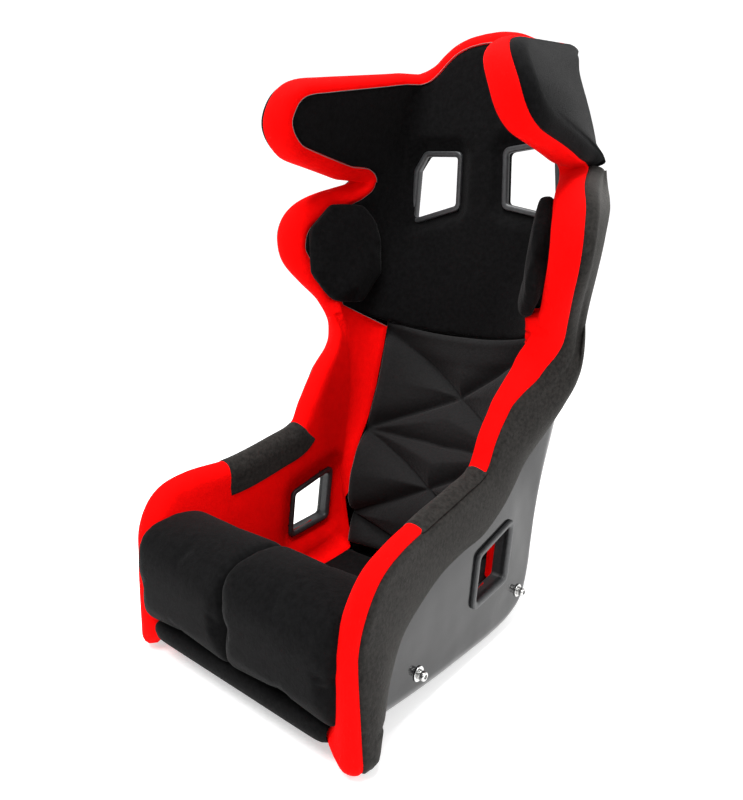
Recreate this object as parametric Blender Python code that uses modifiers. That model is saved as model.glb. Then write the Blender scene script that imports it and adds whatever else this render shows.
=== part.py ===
"""Fixed-back racing seat with head and shoulder wings, in metres, +Z up, facing -Y.

Everything follows one bucket surface. A spine runs from the front of the pan up to the head, and at each
station along it a section goes out across the floor, round the corner and along the side wall. The laminate
shell lies on that surface, and the upholstery lies between it and a second, inner section.
"""

import math

import bmesh
import bpy
import numpy as np
from mathutils import Matrix, Vector

# ---------------------------------------------------------------- driving dimensions
SHELL_T = 0.004        # laminate thickness
GAP = 0.0028           # clearance between the shell and the upholstery, whose facets differ
COVER_CLEAR = 0.0080   # and between the shell and the back cover, where they bend in two directions
SEAM = 0.0040          # clearance between the padded edge and the covers beside it
MOUNT_X = 0.205        # half width of the shell at the side mounts
MOUNT_Z = 0.063        # height of the side mount bolts
FRONT_BOLT_Y = -0.165
REAR_BOLT_Y = 0.1235

# One row for each station of the bucket, from the front of the pan to the top of the head:
# spine y, spine z, half width, corner radius, wall end y, wall end z, half width there,
# straight share of the wall, floor pad, wall pad, inner corner radius
STATIONS = np.array([
    (-0.302, 0.040, 0.205, 0.028, -0.304, 0.300, 0.220, 0.50, 0.022, 0.019, 0.030),
    (-0.228, 0.028, 0.205, 0.028, -0.235, 0.320, 0.210, 0.50, 0.022, 0.019, 0.030),
    (-0.128, 0.016, 0.205, 0.028, -0.150, 0.330, 0.199, 0.50, 0.022, 0.028, 0.030),
    (-0.028, 0.009, 0.205, 0.028, -0.075, 0.350, 0.197, 0.50, 0.022, 0.028, 0.030),
    (0.052, 0.007, 0.205, 0.026, -0.020, 0.365, 0.197, 0.50, 0.024, 0.028, 0.030),
    (0.110, 0.012, 0.205, 0.026, 0.010, 0.380, 0.198, 0.50, 0.034, 0.029, 0.030),
    (0.147, 0.030, 0.205, 0.026, 0.030, 0.395, 0.199, 0.50, 0.038, 0.030, 0.032),
    (0.166, 0.070, 0.205, 0.030, 0.045, 0.410, 0.201, 0.50, 0.036, 0.030, 0.036),
    (0.174, 0.115, 0.206, 0.036, 0.058, 0.425, 0.203, 0.40, 0.034, 0.031, 0.040),
    (0.184, 0.165, 0.208, 0.045, 0.070, 0.440, 0.208, 0.30, 0.032, 0.033, 0.045),
    (0.204, 0.220, 0.213, 0.055, 0.080, 0.455, 0.212, 0.20, 0.032, 0.035, 0.050),
    (0.240, 0.280, 0.219, 0.065, 0.088, 0.472, 0.218, 0.10, 0.032, 0.037, 0.055),
    (0.276, 0.340, 0.225, 0.070, 0.090, 0.495, 0.226, 0.00, 0.032, 0.038, 0.055),
    (0.300, 0.400, 0.230, 0.070, 0.075, 0.525, 0.252, 0.00, 0.030, 0.038, 0.055),
    (0.311, 0.460, 0.232, 0.070, 0.060, 0.555, 0.280, 0.00, 0.030, 0.038, 0.055),
    (0.315, 0.520, 0.232, 0.070, 0.050, 0.590, 0.293, 0.00, 0.030, 0.038, 0.055),
    (0.317, 0.580, 0.231, 0.068, 0.045, 0.620, 0.299, 0.00, 0.028, 0.038, 0.050),
    (0.319, 0.640, 0.230, 0.064, 0.040, 0.655, 0.302, 0.00, 0.026, 0.040, 0.040),
    (0.321, 0.690, 0.228, 0.060, 0.035, 0.693, 0.299, 0.00, 0.026, 0.042, 0.034),
    (0.322, 0.736, 0.226, 0.056, 0.000, 0.736, 0.285, 0.00, 0.026, 0.044, 0.034),
    (0.322, 0.786, 0.222, 0.054, -0.040, 0.786, 0.250, 0.00, 0.026, 0.046, 0.034),
    (0.321, 0.836, 0.208, 0.052, -0.040, 0.836, 0.236, 0.00, 0.026, 0.046, 0.034),
    (0.320, 0.886, 0.190, 0.050, -0.040, 0.886, 0.212, 0.00, 0.026, 0.044, 0.034),
    (0.318, 0.936, 0.168, 0.048, -0.040, 0.936, 0.192, 0.00, 0.026, 0.040, 0.032),
    (0.316, 0.990, 0.140, 0.046, -0.040, 0.990, 0.170, 0.00, 0.026, 0.036, 0.030),
])
TOP = len(STATIONS) - 1

# The free edge of the shell in the side view (y, z), from the foot of the thigh wing round to the head.
EDGE_SIDE = [
    (-0.302, 0.006), (-0.303, 0.080), (-0.303, 0.150), (-0.298, 0.205), (-0.272, 0.246), (-0.225, 0.262),
    (-0.150, 0.268), (-0.060, 0.284), (0.004, 0.301), (0.036, 0.345), (0.082, 0.394), (0.136, 0.425),
    (0.171, 0.474), (0.152, 0.526), (0.111, 0.570), (0.082, 0.606), (0.076, 0.638), (0.081, 0.664),
    (0.096, 0.685), (0.124, 0.702), (0.170, 0.719), (0.206, 0.733), (0.221, 0.748), (0.204, 0.762),
    (0.155, 0.772), (0.088, 0.786), (0.036, 0.799), (0.008, 0.819), (0.000, 0.843), (0.007, 0.866),
    (0.028, 0.881), (0.075, 0.891), (0.150, 0.905), (0.215, 0.917), (0.262, 0.926),
]
NOTCH_POINT = (0.221, 0.748)   # bottom of the fold between shoulder wing and head wing
# The head's top edge in the front view (x, z), from the wing to the middle.
EDGE_TOP = [(0.160, 0.928), (0.138, 0.935), (0.115, 0.946), (0.092, 0.960), (0.066, 0.972), (0.034, 0.979),
            (0.0, 0.981)]

# Lower edge of the outer bands on the outside of the shell, side view (y, z).
BAND_EDGE_BODY = [
    (-0.268, 0.000), (-0.250, 0.040), (-0.234, 0.095), (-0.208, 0.143), (-0.168, 0.171), (-0.116, 0.194),
    (-0.060, 0.205), (0.000, 0.212), (0.066, 0.245), (0.118, 0.298), (0.176, 0.350), (0.214, 0.404),
    (0.232, 0.470), (0.232, 0.530), (0.220, 0.590), (0.216, 0.650), (0.224, 0.700), (0.246, 0.744),
]
BAND_EDGE_HEAD = [(0.250, 0.752), (0.250, 0.790), (0.248, 0.830), (0.246, 0.870), (0.252, 0.900), (0.268, 0.921)]

PATCH_FROM, PATCH_TO = -0.168, 0.004    # y range of the wear patch on the crest of the hip bolster
BASE_PAD = (0.45, 4.70)                 # stations covered by the pad on the pan
LUMBAR = (5.45, 13.90)                  # stations covered by the quilted back cushion
BACK_COVER_FROM = 13.97                 # station where the upper back begins
SIDE_COVER = (0.35, 13.90)              # stations covered by the red side covers
SEAM_C = 1.26                           # section place of the seam between the black middle and the red sides
SEAM_GAP_C = 0.10

CUSHION_HALF_W = 0.184
STRIP_HALF_W = 0.184

# Harness openings. Shoulder slots are seen from the front (x, z), lap slots from the side (y, z).
SHOULDER_SLOT = [(0.058, 0.708), (0.056, 0.786), (0.118, 0.790), (0.133, 0.768), (0.140, 0.686)]
LAP_SLOT = [(-0.014, 0.110), (-0.004, 0.169), (0.074, 0.188), (0.060, 0.118)]
CROTCH_SLOT = [(-0.032, -0.070), (0.032, -0.070), (0.032, -0.040), (-0.032, -0.040)]
BEZEL_RIM = 0.015
BEZEL_T = 0.0045
LAP_FLANGE_X = 0.1745   # where the inner lap bezels lie on the side covers
SLEEVE_T = 0.0030

BOLT_R, BOLT_HEAD_R, BOLT_HEAD_H, BOLT_L = 0.0040, 0.0065, 0.0080, 0.0200
HEX_KEY_R, HEX_KEY_DEPTH = 0.0034, 0.0045
WASHER_R, WASHER_T = 0.0110, 0.0018
SPRING_R, SPRING_T, SPRING_GAP_DEG = 0.0070, 0.0020, 20.0
INSERT_R, INSERT_T, INSERT_BOSS_R, INSERT_BOSS_L = 0.0130, 0.0025, 0.0062, 0.0090

COLOURS = {
    "shell_gloss": ((0.010, 0.010, 0.011), 0.12, 0.0),
    "red_knit": ((0.80, 0.006, 0.004), 0.80, 0.0),
    "black_velour": ((0.012, 0.012, 0.013), 0.92, 0.0),
    "black_mesh": ((0.014, 0.014, 0.015), 0.88, 0.0),
    "grey_suede": ((0.035, 0.034, 0.033), 0.90, 0.0),
    "bezel_plastic": ((0.030, 0.031, 0.033), 0.45, 0.0),
    "zinc_steel": ((0.72, 0.72, 0.72), 0.25, 1.0),
    "insert_steel": ((0.45, 0.44, 0.42), 0.40, 1.0),
}


# ---------------------------------------------------------------- scene helpers
def clear_scene():
    for obj in list(bpy.data.objects):
        bpy.data.objects.remove(obj, do_unlink=True)


def new_collection(name, helpers=False):
    made = bpy.data.collections.new(name)
    bpy.context.scene.collection.children.link(made)
    made.hide_render = helpers
    return made


clear_scene()
SEAT = new_collection("racing_seat")
CUTTERS = new_collection("cutters", helpers=True)


def material(slot):
    found = bpy.data.materials.get(slot)
    if found:
        return found
    colour, roughness, metallic = COLOURS[slot]
    made = bpy.data.materials.new(slot)
    made.use_nodes = True
    shader = made.node_tree.nodes["Principled BSDF"]
    shader.inputs["Base Color"].default_value = (*colour, 1.0)
    shader.inputs["Roughness"].default_value = roughness
    shader.inputs["Metallic"].default_value = metallic
    return made


def add_object(name, mesh, slot, collection=SEAT):
    obj = bpy.data.objects.new(name, mesh)
    collection.objects.link(obj)
    if slot:
        mesh.materials.append(material(slot))
    mesh.shade_smooth()
    mesh.set_sharp_from_angle(angle=math.radians(35))
    return obj


def add_cutter(name, mesh):
    obj = bpy.data.objects.new(name, mesh)
    CUTTERS.objects.link(obj)
    obj.hide_render = True
    obj.display_type = "WIRE"
    return obj


def mesh_of(vertices, faces, name="piece"):
    mesh = bpy.data.meshes.new(name)
    mesh.from_pydata([tuple(v) for v in vertices], [], faces)
    work = bmesh.new()
    work.from_mesh(mesh)
    bmesh.ops.recalc_face_normals(work, faces=work.faces)
    work.to_mesh(mesh)
    work.free()
    return mesh


def mirrored(mesh):
    """A copy of the mesh on the other side of the plane x = 0."""
    work = bmesh.new()
    work.from_mesh(mesh)
    bmesh.ops.scale(work, vec=(-1, 1, 1), verts=work.verts)
    bmesh.ops.reverse_faces(work, faces=work.faces)
    made = bpy.data.meshes.new(mesh.name + "_mirrored")
    work.to_mesh(made)
    work.free()
    return made


def boolean(obj, cutter, operation="DIFFERENCE"):
    step = obj.modifiers.new(cutter.name, "BOOLEAN")
    step.operation = operation
    step.object = cutter
    step.solver = "EXACT"
    return step


# ---------------------------------------------------------------- curves
def catmull(a, b, c, d, f):
    return 0.5 * (2 * b + (c - a) * f + (2 * a - 5 * b + 4 * c - d) * f**2 + (3 * b - a - 3 * c + d) * f**3)


def smooth_path(points, step=0.002):
    """A smooth curve through the points, as points about one step apart."""
    given = np.array(points, float)
    padded = np.vstack([2 * given[0] - given[1], given, 2 * given[-1] - given[-2]])
    out = []
    for i in range(1, len(padded) - 2):
        count = max(2, round(float(np.linalg.norm(padded[i + 1] - padded[i])) / step))
        for j in range(count):
            out.append(catmull(padded[i - 1], padded[i], padded[i + 1], padded[i + 2], j / count))
    out.append(given[-1])
    return np.array(out)


def resample(path, fractions):
    """Points of the path at these fractions of its length."""
    lengths = np.concatenate([[0], np.cumsum(np.linalg.norm(np.diff(path, axis=0), axis=1))])
    wanted = np.array(fractions) * lengths[-1]
    return np.stack([np.interp(wanted, lengths, path[:, k]) for k in range(path.shape[1])], axis=1)


def stations_along(path, longest=0.030, turn=16.0):
    """Indices along a dense path that are close together where it bends."""
    picked, run, bend = [0], 0.0, 0.0
    for i in range(1, len(path) - 1):
        before = path[i] - path[i - 1]
        after = path[i + 1] - path[i]
        run += float(np.linalg.norm(before))
        cosine = float(np.dot(before, after) / (np.linalg.norm(before) * np.linalg.norm(after)))
        bend += math.degrees(math.acos(max(-1.0, min(1.0, cosine))))
        if run > longest or (bend > turn and run > 0.004):
            picked.append(i)
            run, bend = 0.0, 0.0
    if len(path) - 1 - picked[-1] < 3 and len(picked) > 1:
        picked.pop()
    return picked + [len(path) - 1]


# ---------------------------------------------------------------- the bucket surface
def station(t):
    """The station's values at t, smooth between the table's rows."""
    t = min(max(t, 0.0), TOP - 1e-9)
    i = int(t)
    rows = [STATIONS[min(max(k, 0), TOP)] for k in (i - 1, i, i + 1, i + 2)]
    if i == 0:
        rows[0] = 2 * rows[1] - rows[2]
    return catmull(*rows, t - i)


def section_at(t, c, inner=False):
    """(half width, height over the spine) at c: 0 to 1 is the floor, 1 to 2 the corner and 2 to 3 the wall."""
    _, _, half, radius, _, _, half_end, straight, floor_pad, wall_pad, inner_radius = station(t)
    length = wall_length(t)
    start = max(radius, straight * length)
    lift = floor_pad if inner else 0.0
    pad = wall_pad if inner else 0.0
    corner = inner_radius if inner else radius
    side = abs(c)
    if side <= 1:
        return side * (half - pad - corner), lift
    if side <= 2:
        angle = (side - 1) * math.pi / 2
        return half - pad - corner * (1 - math.sin(angle)), lift + corner * (1 - math.cos(angle))
    height = lift + corner + (side - 2) * (length - lift - corner)
    flare = (half_end - half) * max(0.0, height - start) / (length - start)
    return half + flare - pad, height


def wall_length(t):
    y, z, _, _, end_y, end_z = station(t)[:6]
    return math.hypot(end_y - y, end_z - z)


def spot(t, c, layer=0.0):
    """The point at station t and section place c. Layer 0 is the shell's middle, and 1 the upholstery's surface."""
    y, z, _, _, end_y, end_z = station(t)[:6]
    length = wall_length(t)
    along = ((end_y - y) / length, (end_z - z) / length)
    width, height = section_at(t, c)
    if layer:
        inner_width, inner_height = section_at(t, c, inner=True)
        width += layer * (inner_width - width)
        height += layer * (inner_height - height)
    return np.array([math.copysign(width, c), y + height * along[0], z + height * along[1]])


def inward(t, c):
    """The shell's unit normal at (t, c), towards the occupant."""
    e = 0.01
    along = spot(min(t + e, TOP), c) - spot(max(t - e, 0), c)
    across = spot(t, c + e) - spot(t, c - e)
    normal = np.cross(across, along)
    return normal / np.linalg.norm(normal)


def off_shell(t, c, distance):
    """A point this far from the shell's middle surface, positive towards the occupant."""
    return spot(t, c) + inward(t, c) * distance


def locate(y, z):
    """(t, c) of the wall point that has this place in the side view. c under 2 is in the corner or the floor."""
    def side_of(t):
        s = station(t)
        return (s[5] - s[1]) * (y - s[0]) - (s[4] - s[0]) * (z - s[1])

    low, high = 0.0, float(TOP)
    if side_of(low) < 0:
        low = high = 0.0
    for _ in range(40):
        middle = (low + high) / 2
        if side_of(middle) > 0:
            low = middle
        else:
            high = middle
    t = (low + high) / 2
    s = station(t)
    length = wall_length(t)
    height = ((y - s[0]) * (s[4] - s[0]) + (z - s[1]) * (s[5] - s[1])) / length
    if height >= s[3]:
        return t, 2 + (height - s[3]) / (length - s[3])
    return t, 1 + math.acos(max(-1.0, min(1.0, 1 - height / s[3]))) / (math.pi / 2)


def wall_point(y, z, distance=0.0):
    """A point over the side wall at this place in the side view. Below the shell it goes on straight down."""
    t, c = locate(y, z)
    if t < 0.02 or c < 1.7:
        base = station(t)
        if z < base[1] + base[3] and t < 2:
            return np.array([base[2] - distance, y, z])
    place = off_shell(t, c, distance)
    if t < 0.02:
        place[1] = y
        place[2] = z
    return place


def locate_front(x, z):
    """(t, c) of the floor or corner point that has this place in the front view."""
    t = float(TOP) - 1.5
    c = 0.5
    for _ in range(30):
        place = spot(t, c)
        t += (z - place[2]) / 0.05
        half, radius = station(t)[2:4]
        flat = half - radius
        if x <= flat:
            c = x / flat
        else:
            c = 1 + math.asin(min(1.0, (x - flat) / radius)) / (math.pi / 2)
    return t, c


# ---------------------------------------------------------------- the shell's free edge
SIDE_PATH = smooth_path(EDGE_SIDE)
TOP_PATH = smooth_path(EDGE_TOP)


def side_normals(path):
    """Unit vectors in the side view that point from the edge into the shell."""
    along = np.gradient(path, axis=0)
    along /= np.linalg.norm(along, axis=1)[:, None]
    return np.stack([along[:, 1], -along[:, 0]], axis=1)


def inset_side(distance):
    return SIDE_PATH + side_normals(SIDE_PATH) * distance


def edge_points():
    """The edge as (t, c) places: the whole side view's curve and then the top of the head to the middle."""
    places = [(y, z, None) for y, z in SIDE_PATH]
    return places + [(None, z, x) for x, z in TOP_PATH[1:]]


def edge_frame():
    """For each point of the edge: its place, the way out past it, the outward normal, and the way in through the pad."""
    places, normals, pads = [], [], []
    for y, z, x in edge_points():
        t, c = locate(y, z) if x is None else locate_front(x, z)
        foot = x is None and z < station(t)[1] + station(t)[3] and t < 2
        places.append(wall_point(y, z) if x is None else spot(t, max(c, 1e-4)))
        normals.append(np.array([1.0, 0, 0]) if foot else -inward(t, max(c, 1e-4)))
        pads.append(np.array([-station(t)[9], 0, 0]) if foot else spot(t, c, 1.0) - spot(t, c))
    places, normals, pads = np.array(places), np.array(normals), np.array(pads)
    along = smoothed(np.gradient(places, axis=0), 9)
    outs = np.cross(normals, along)
    outs /= np.linalg.norm(outs, axis=1)[:, None]
    return places, outs, normals, smoothed(pads, 15)


def smoothed(values, width):
    """The running mean of the rows of values."""
    kernel = np.ones(width) / width
    columns = [np.convolve(np.pad(column, width // 2, "edge"), kernel, "valid") for column in values.T]
    return np.stack(columns, axis=1)


def border(setback):
    """The shell's edge, set back by setback(i) at edge point i, as section places over rising stations."""
    found = []
    for i, (place, out) in enumerate(zip(EDGE, EDGE_OUT)):
        x, y, z = place - out * setback(i)
        found.append(locate(y, z) if i < len(SIDE_PATH) else locate_front(x, z))
    t, c = np.array(found).T
    t = np.maximum.accumulate(t)
    last_of_each = np.append(np.diff(t) > 1e-9, True)
    return t[last_of_each], c[last_of_each]


EDGE, EDGE_OUT, EDGE_NORMAL, EDGE_PAD = edge_frame()
NOTCH = int(np.argmin(np.linalg.norm(SIDE_PATH - np.array(NOTCH_POINT), axis=1)))
ELBOW = [i for i, (y, z) in enumerate(SIDE_PATH) if z > 0.24 and PATCH_FROM <= y <= PATCH_TO and z < 0.31]
PATCH_START, PATCH_END = ELBOW[0], ELBOW[-1]
EDGE_BORDER = border(lambda i: 0.0)


def nose_size(i):
    """(start past the edge, bulge, outer thickness, how far the inner seam is set back) at edge point i."""
    corner = len(SIDE_PATH)
    start = np.interp(i, [NOTCH, NOTCH + 10, NOTCH + 30, corner - 30, corner - 5, corner + 20, corner + 40],
                      [0.005, 0.005, GAP, GAP, 0.007, 0.005, GAP])
    marks = [0, PATCH_START, PATCH_END, PATCH_END + 60, NOTCH - 40, NOTCH, NOTCH + 40, corner, len(EDGE)]
    bulge = np.interp(i, marks, [0.024, 0.012, 0.012, 0.012, 0.011, 0.008, 0.011, 0.012, 0.012])
    outer = np.interp(i, marks, [0.030, 0.011, 0.011, 0.012, 0.012, 0.012, 0.012, 0.012, 0.012])
    back = np.interp(i, marks, [-GAP, 0.008, 0.012, 0.022, 0.020, 0.006, 0.004, 0.002, 0.002])
    return start, bulge, outer, back


def nose_section(i):
    """The padded edge's section at edge point i: a closed outline just past the shell's edge."""
    start, bulge, outer, back = nose_size(i)
    low = (SHELL_T / 2 + GAP) / float(np.linalg.norm(EDGE_PAD[i]))
    outside = [(start, outer), (0.62 * bulge, 0.85 * outer), (bulge, 0.30 * outer)]
    inside = [(bulge, 0.35), (0.60 * bulge, 0.78), (-0.5 * back, 1.0), (-back, 1.0), (start, low)]
    section = [EDGE[i] + EDGE_OUT[i] * a + EDGE_NORMAL[i] * b for a, b in outside]
    return section + [EDGE[i] + EDGE_OUT[i] * a + EDGE_PAD[i] * b for a, b in inside]


COVER_BORDER = border(lambda i: nose_size(i)[3] + SEAM)


def edge_c(t, line):
    """The section place of this border at station t."""
    return float(np.interp(t, *line))


def last_row(line):
    """The station near the top of the head where the border has come in close to the middle."""
    t, c = line
    return float(t[np.argmax(c < 0.35)])


def edge_stations():
    """Stations of the shell's edge, close together where it bends."""
    found = []
    for i in stations_along(EDGE, longest=0.020, turn=14.0):
        x, y, z = EDGE[i]
        found.append(locate(y, z)[0] if i < len(SIDE_PATH) else locate_front(x, z)[0])
    return sorted(found)


BEND_ROWS = edge_stations()
WING_TOP_ROW = 22.6       # from here up the edge comes in quickly, so the rows are closer


def rows_between(start, end, step=1.0, closest=0.12):
    """Stations at which a panel has a row: evenly spaced, and with one at each bend of the shell's edge."""
    even = [k * step for k in range(1, int(TOP / step) + 1)]
    rows = [start]
    for t in sorted(BEND_ROWS + even):
        wanted = closest if t > WING_TOP_ROW else 2 * closest
        if rows[-1] + wanted < t < end - closest:
            rows.append(t)
    return rows + [end]


def loft(sections):
    """A closed solid through closed sections with the same number of points."""
    count = len(sections[0])
    vertices = [p for section in sections for p in section]
    faces = []
    for i in range(len(sections) - 1):
        for j in range(count):
            k = (j + 1) % count
            faces.append((i * count + j, i * count + k, (i + 1) * count + k, (i + 1) * count + j))
    faces.append(tuple(range(count)))
    faces.append(tuple(range(len(vertices) - count, len(vertices))))
    return vertices, faces


def nose_mesh(first, last):
    picked = [first + k for k in stations_along(EDGE[first:last + 1])]
    return mesh_of(*loft([nose_section(i) for i in picked]))


def pair(name, mesh, slot, cutters=()):
    """The piece on the seat's left, which is +X, and its mirror image on the right."""
    made = []
    for side, shape in (("left", mesh), ("right", mirrored(mesh))):
        obj = add_object(f"{name}_{side}", shape, slot)
        for cutter, operation in cutters:
            boolean(obj, cutter, operation)
        made.append(obj)
    return made


def make_noses():
    pair("thigh_rim", nose_mesh(0, PATCH_START - 1), "red_knit")
    pair("elbow_patch", nose_mesh(PATCH_START + 1, PATCH_END - 1), "grey_suede")
    pair("body_rim", nose_mesh(PATCH_END + 1, NOTCH - 5), "red_knit")
    start = NOTCH + 5
    near = [nose_section(start + k) for k in stations_along(EDGE[start:])]
    flip = np.array([-1.0, 1.0, 1.0])
    far = [[p * flip for p in section] for section in reversed(near[:-1])]
    add_object("head_rim", mesh_of(*loft(near + far)), "red_knit")


# ---------------------------------------------------------------- grids and panels
def slab(rows):
    """A closed solid between two grids. Each row is a list of (under, over) points."""
    count = len(rows[0])
    unders = [p for row in rows for p, _ in row]
    overs = [p for row in rows for _, p in row]
    total = len(unders)
    faces = []
    for i in range(len(rows) - 1):
        for j in range(count - 1):
            a = i * count + j
            b = a + count
            faces.append((a, a + 1, b + 1, b))
            faces.append((total + a, total + b, total + b + 1, total + a + 1))
    rim = [j for j in range(count)]
    rim += [i * count + count - 1 for i in range(1, len(rows))]
    rim += [(len(rows) - 1) * count + j for j in range(count - 2, -1, -1)]
    rim += [i * count for i in range(len(rows) - 2, 0, -1)]
    for k, a in enumerate(rim):
        b = rim[(k + 1) % len(rim)]
        faces.append((a, total + a, total + b, b))
    return mesh_of(unders + overs, faces)


def padding(rows, places, layer, clear=GAP, base=1.0):
    """A pad on the shell. places(t) lists its section places, and layer(row, place) is the height of its top.

    Its underside is this share as wide as its top.
    """
    grid = []
    for t in rows:
        row = []
        for c in places(t):
            row.append((off_shell(t, base * c, SHELL_T / 2 + clear), spot(t, c, layer(t, c))))
        grid.append(row)
    return slab(grid)


def spaced(low, high, count):
    return [low + (high - low) * k / (count - 1) for k in range(count)]


def prism(outline, axis, low, high):
    """A straight-sided solid. The outline's two numbers are the other two axes in X, Y, Z order."""
    def place(p, depth):
        return {"X": (depth, p[0], p[1]), "Y": (p[0], depth, p[1]), "Z": (p[0], p[1], depth)}[axis]

    count = len(outline)
    vertices = [place(p, low) for p in outline] + [place(p, high) for p in outline]
    faces = [tuple(range(count)), tuple(range(count, 2 * count))]
    faces += [(i, (i + 1) % count, count + (i + 1) % count, count + i) for i in range(count)]
    return mesh_of(vertices, faces)


def extruded(name, outline, axis, low, high):
    return add_cutter(name, prism(outline, axis, low, high))


def grown(outline, distance):
    """The convex outline with each side moved out by this distance."""
    points = [Vector(p) for p in outline]
    middle = sum(points, Vector((0, 0))) / len(points)
    lines = []
    for a, b in zip(points, points[1:] + points[:1]):
        normal = Vector((b.y - a.y, a.x - b.x)).normalized()
        if normal.dot(a - middle) < 0:
            normal = -normal
        lines.append((a + normal * distance, (b - a).normalized()))
    out = []
    for (p, d), (q, e) in zip(lines[-1:] + lines[:-1], lines):
        cross = d.x * e.y - d.y * e.x
        share = ((q.x - p.x) * e.y - (q.y - p.y) * e.x) / cross
        out.append(tuple(p + d * share))
    return out


def rounded(outline, radius, steps=3):
    """The outline with its corners rounded."""
    points = [Vector(p) for p in outline]
    out = []
    for before, corner, after in zip(points[-1:] + points[:-1], points, points[1:] + points[:1]):
        into = (before - corner).normalized()
        away = (after - corner).normalized()
        half = into.angle(away) / 2
        reach = min(radius / math.tan(half), 0.45 * (before - corner).length, 0.45 * (after - corner).length)
        for k in range(steps + 1):
            f = k / steps
            out.append(tuple((1 - f)**2 * (corner + into * reach) + 2 * f * (1 - f) * corner
                             + f**2 * (corner + away * reach)))
    return out


def flipped(outline):
    return [(-x, z) for x, z in outline]


# ---------------------------------------------------------------- shell
def shell_places(t):
    """Section places from edge to edge. Where the wall is high, one lies at its foot, so that it starts flat."""
    edge = edge_c(t, EDGE_BORDER)
    foot = min(1.0, edge / 2.2)
    half = [foot * c for c in (0.0, 1.0, 1.26, 1.5, 1.74)] + spaced(foot * 2.0, edge, 4)
    return [-c for c in reversed(half[1:])] + half


def make_shell():
    rows = rows_between(1e-6, last_row(EDGE_BORDER))
    vertices = [spot(t, c) for t in rows for c in shell_places(t)]
    count = len(shell_places(0))
    faces = [(i * count + j, i * count + j + 1, (i + 1) * count + j + 1, (i + 1) * count + j)
             for i in range(len(rows) - 1) for j in range(count - 1)]
    shell = add_object("shell", mesh_of(vertices, faces), "shell_gloss")
    solid = shell.modifiers.new("laminate", "SOLIDIFY")
    solid.thickness = SHELL_T
    solid.offset = 0.0
    solid.use_even_offset = True
    for side, sign in (("left", 1), ("right", -1)):
        shoulder = SHOULDER_SLOT if sign > 0 else flipped(SHOULDER_SLOT)
        hole = rounded(grown(shoulder, SLEEVE_T + 0.0006), 0.010)
        boolean(shell, extruded(f"shoulder_hole_{side}", hole, "Y", 0.24, 0.40))
        lap = rounded(grown(LAP_SLOT, SLEEVE_T + 0.0006), 0.010)
        ends = (0.15, 0.25) if sign > 0 else (-0.25, -0.15)
        boolean(shell, extruded(f"lap_hole_{side}", lap, "X", *ends))
        for place, y in (("front", FRONT_BOLT_Y), ("rear", REAR_BOLT_Y)):
            boolean(shell, drill(f"bolt_hole_{place}_{side}", BOLT_R + 0.0005, sign, y))
    crotch = rounded(grown(CROTCH_SLOT, SLEEVE_T + 0.0006), 0.008)
    boolean(shell, extruded("crotch_hole", crotch, "Z", -0.05, 0.10))
    return shell


def drill(name, radius, sign, y, low=0.17, high=0.24):
    """A round cutter along X through one side of the seat."""
    outline = circle(radius, 16, (y, MOUNT_Z))
    ends = (low, high) if sign > 0 else (-high, -low)
    return extruded(name, outline, "X", *ends)


def circle(radius, count, centre=(0.0, 0.0), turned=0.0):
    return [(centre[0] + radius * math.cos(turned + 2 * math.pi * k / count),
             centre[1] + radius * math.sin(turned + 2 * math.pi * k / count)) for k in range(count)]


# ---------------------------------------------------------------- upholstery on the shell
def make_base_pad():
    places = spaced(-SEAM_C, SEAM_C, 9)
    mesh = padding(spaced(*BASE_PAD, 8), lambda t: places, lambda t, c: 0.75 if t in BASE_PAD else 1.0)
    pad = add_object("seat_base_pad", mesh, "black_velour")
    crotch = rounded(grown(CROTCH_SLOT, SLEEVE_T + 0.001), 0.008)
    boolean(pad, extruded("crotch_pad_hole", crotch, "Z", 0.0, 0.10))
    return pad


def lumbar_layer(t, c):
    """The quilted cushion is fattest low down, and thinner at its border."""
    low_swell = 1.0 + 0.75 * math.exp(-((t - 6.6) / 1.6) ** 2)
    at_border = t in LUMBAR or abs(c) == SEAM_C
    return low_swell * (0.80 if at_border else 1.0)


def make_lumbar():
    places = spaced(-SEAM_C, SEAM_C, 11)
    mesh = padding(rows_between(*LUMBAR), lambda t: places, lumbar_layer, base=0.66)
    return add_object("lumbar_cushion", mesh, "black_mesh")


def make_back_cover():
    half = [0.0, 0.9, 1.3, 1.65, 2.0, 2.35, 2.7, 3.0]
    shares = [-c / 3 for c in reversed(half[1:])] + [c / 3 for c in half]

    def places(t):
        return [share * edge_c(t, COVER_BORDER) for share in shares]

    rows = rows_between(BACK_COVER_FROM, last_row(COVER_BORDER))
    mesh = padding(rows, places, lambda t, c: 1.0, clear=COVER_CLEAR)
    cover = add_object("upper_back_cover", mesh, "black_velour")
    for side, outline in (("left", SHOULDER_SLOT), ("right", flipped(SHOULDER_SLOT))):
        hole = rounded(grown(outline, SLEEVE_T + 0.001), 0.010)
        boolean(cover, extruded(f"shoulder_pad_hole_{side}", hole, "Y", 0.20, 0.40))
    return cover


def make_side_covers():
    def places(t):
        return spaced(SEAM_C + SEAM_GAP_C, edge_c(t, COVER_BORDER), 7)

    mesh = padding(rows_between(*SIDE_COVER), places, lambda t, c: 1.0)
    lap = rounded(grown(LAP_SLOT, SLEEVE_T + 0.001), 0.010)
    cutters = [(extruded("lap_pad_hole", lap, "X", -0.25, 0.25), "DIFFERENCE")]
    flange = rounded(grown(LAP_SLOT, BEZEL_RIM + 0.001), 0.014)
    pocket = LAP_FLANGE_X + 0.0003
    cutters.append((extruded("lap_flange_pocket", flange, "X", -pocket, pocket), "DIFFERENCE"))
    for place, y in (("front", FRONT_BOLT_Y), ("rear", REAR_BOLT_Y)):
        pocket = circle(INSERT_R + 0.001, 12, (y, MOUNT_Z))
        cutters.append((extruded(f"insert_pocket_{place}", pocket, "X", -0.25, 0.25), "DIFFERENCE"))
    pair("side_cover", mesh, "red_knit", cutters)


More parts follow.
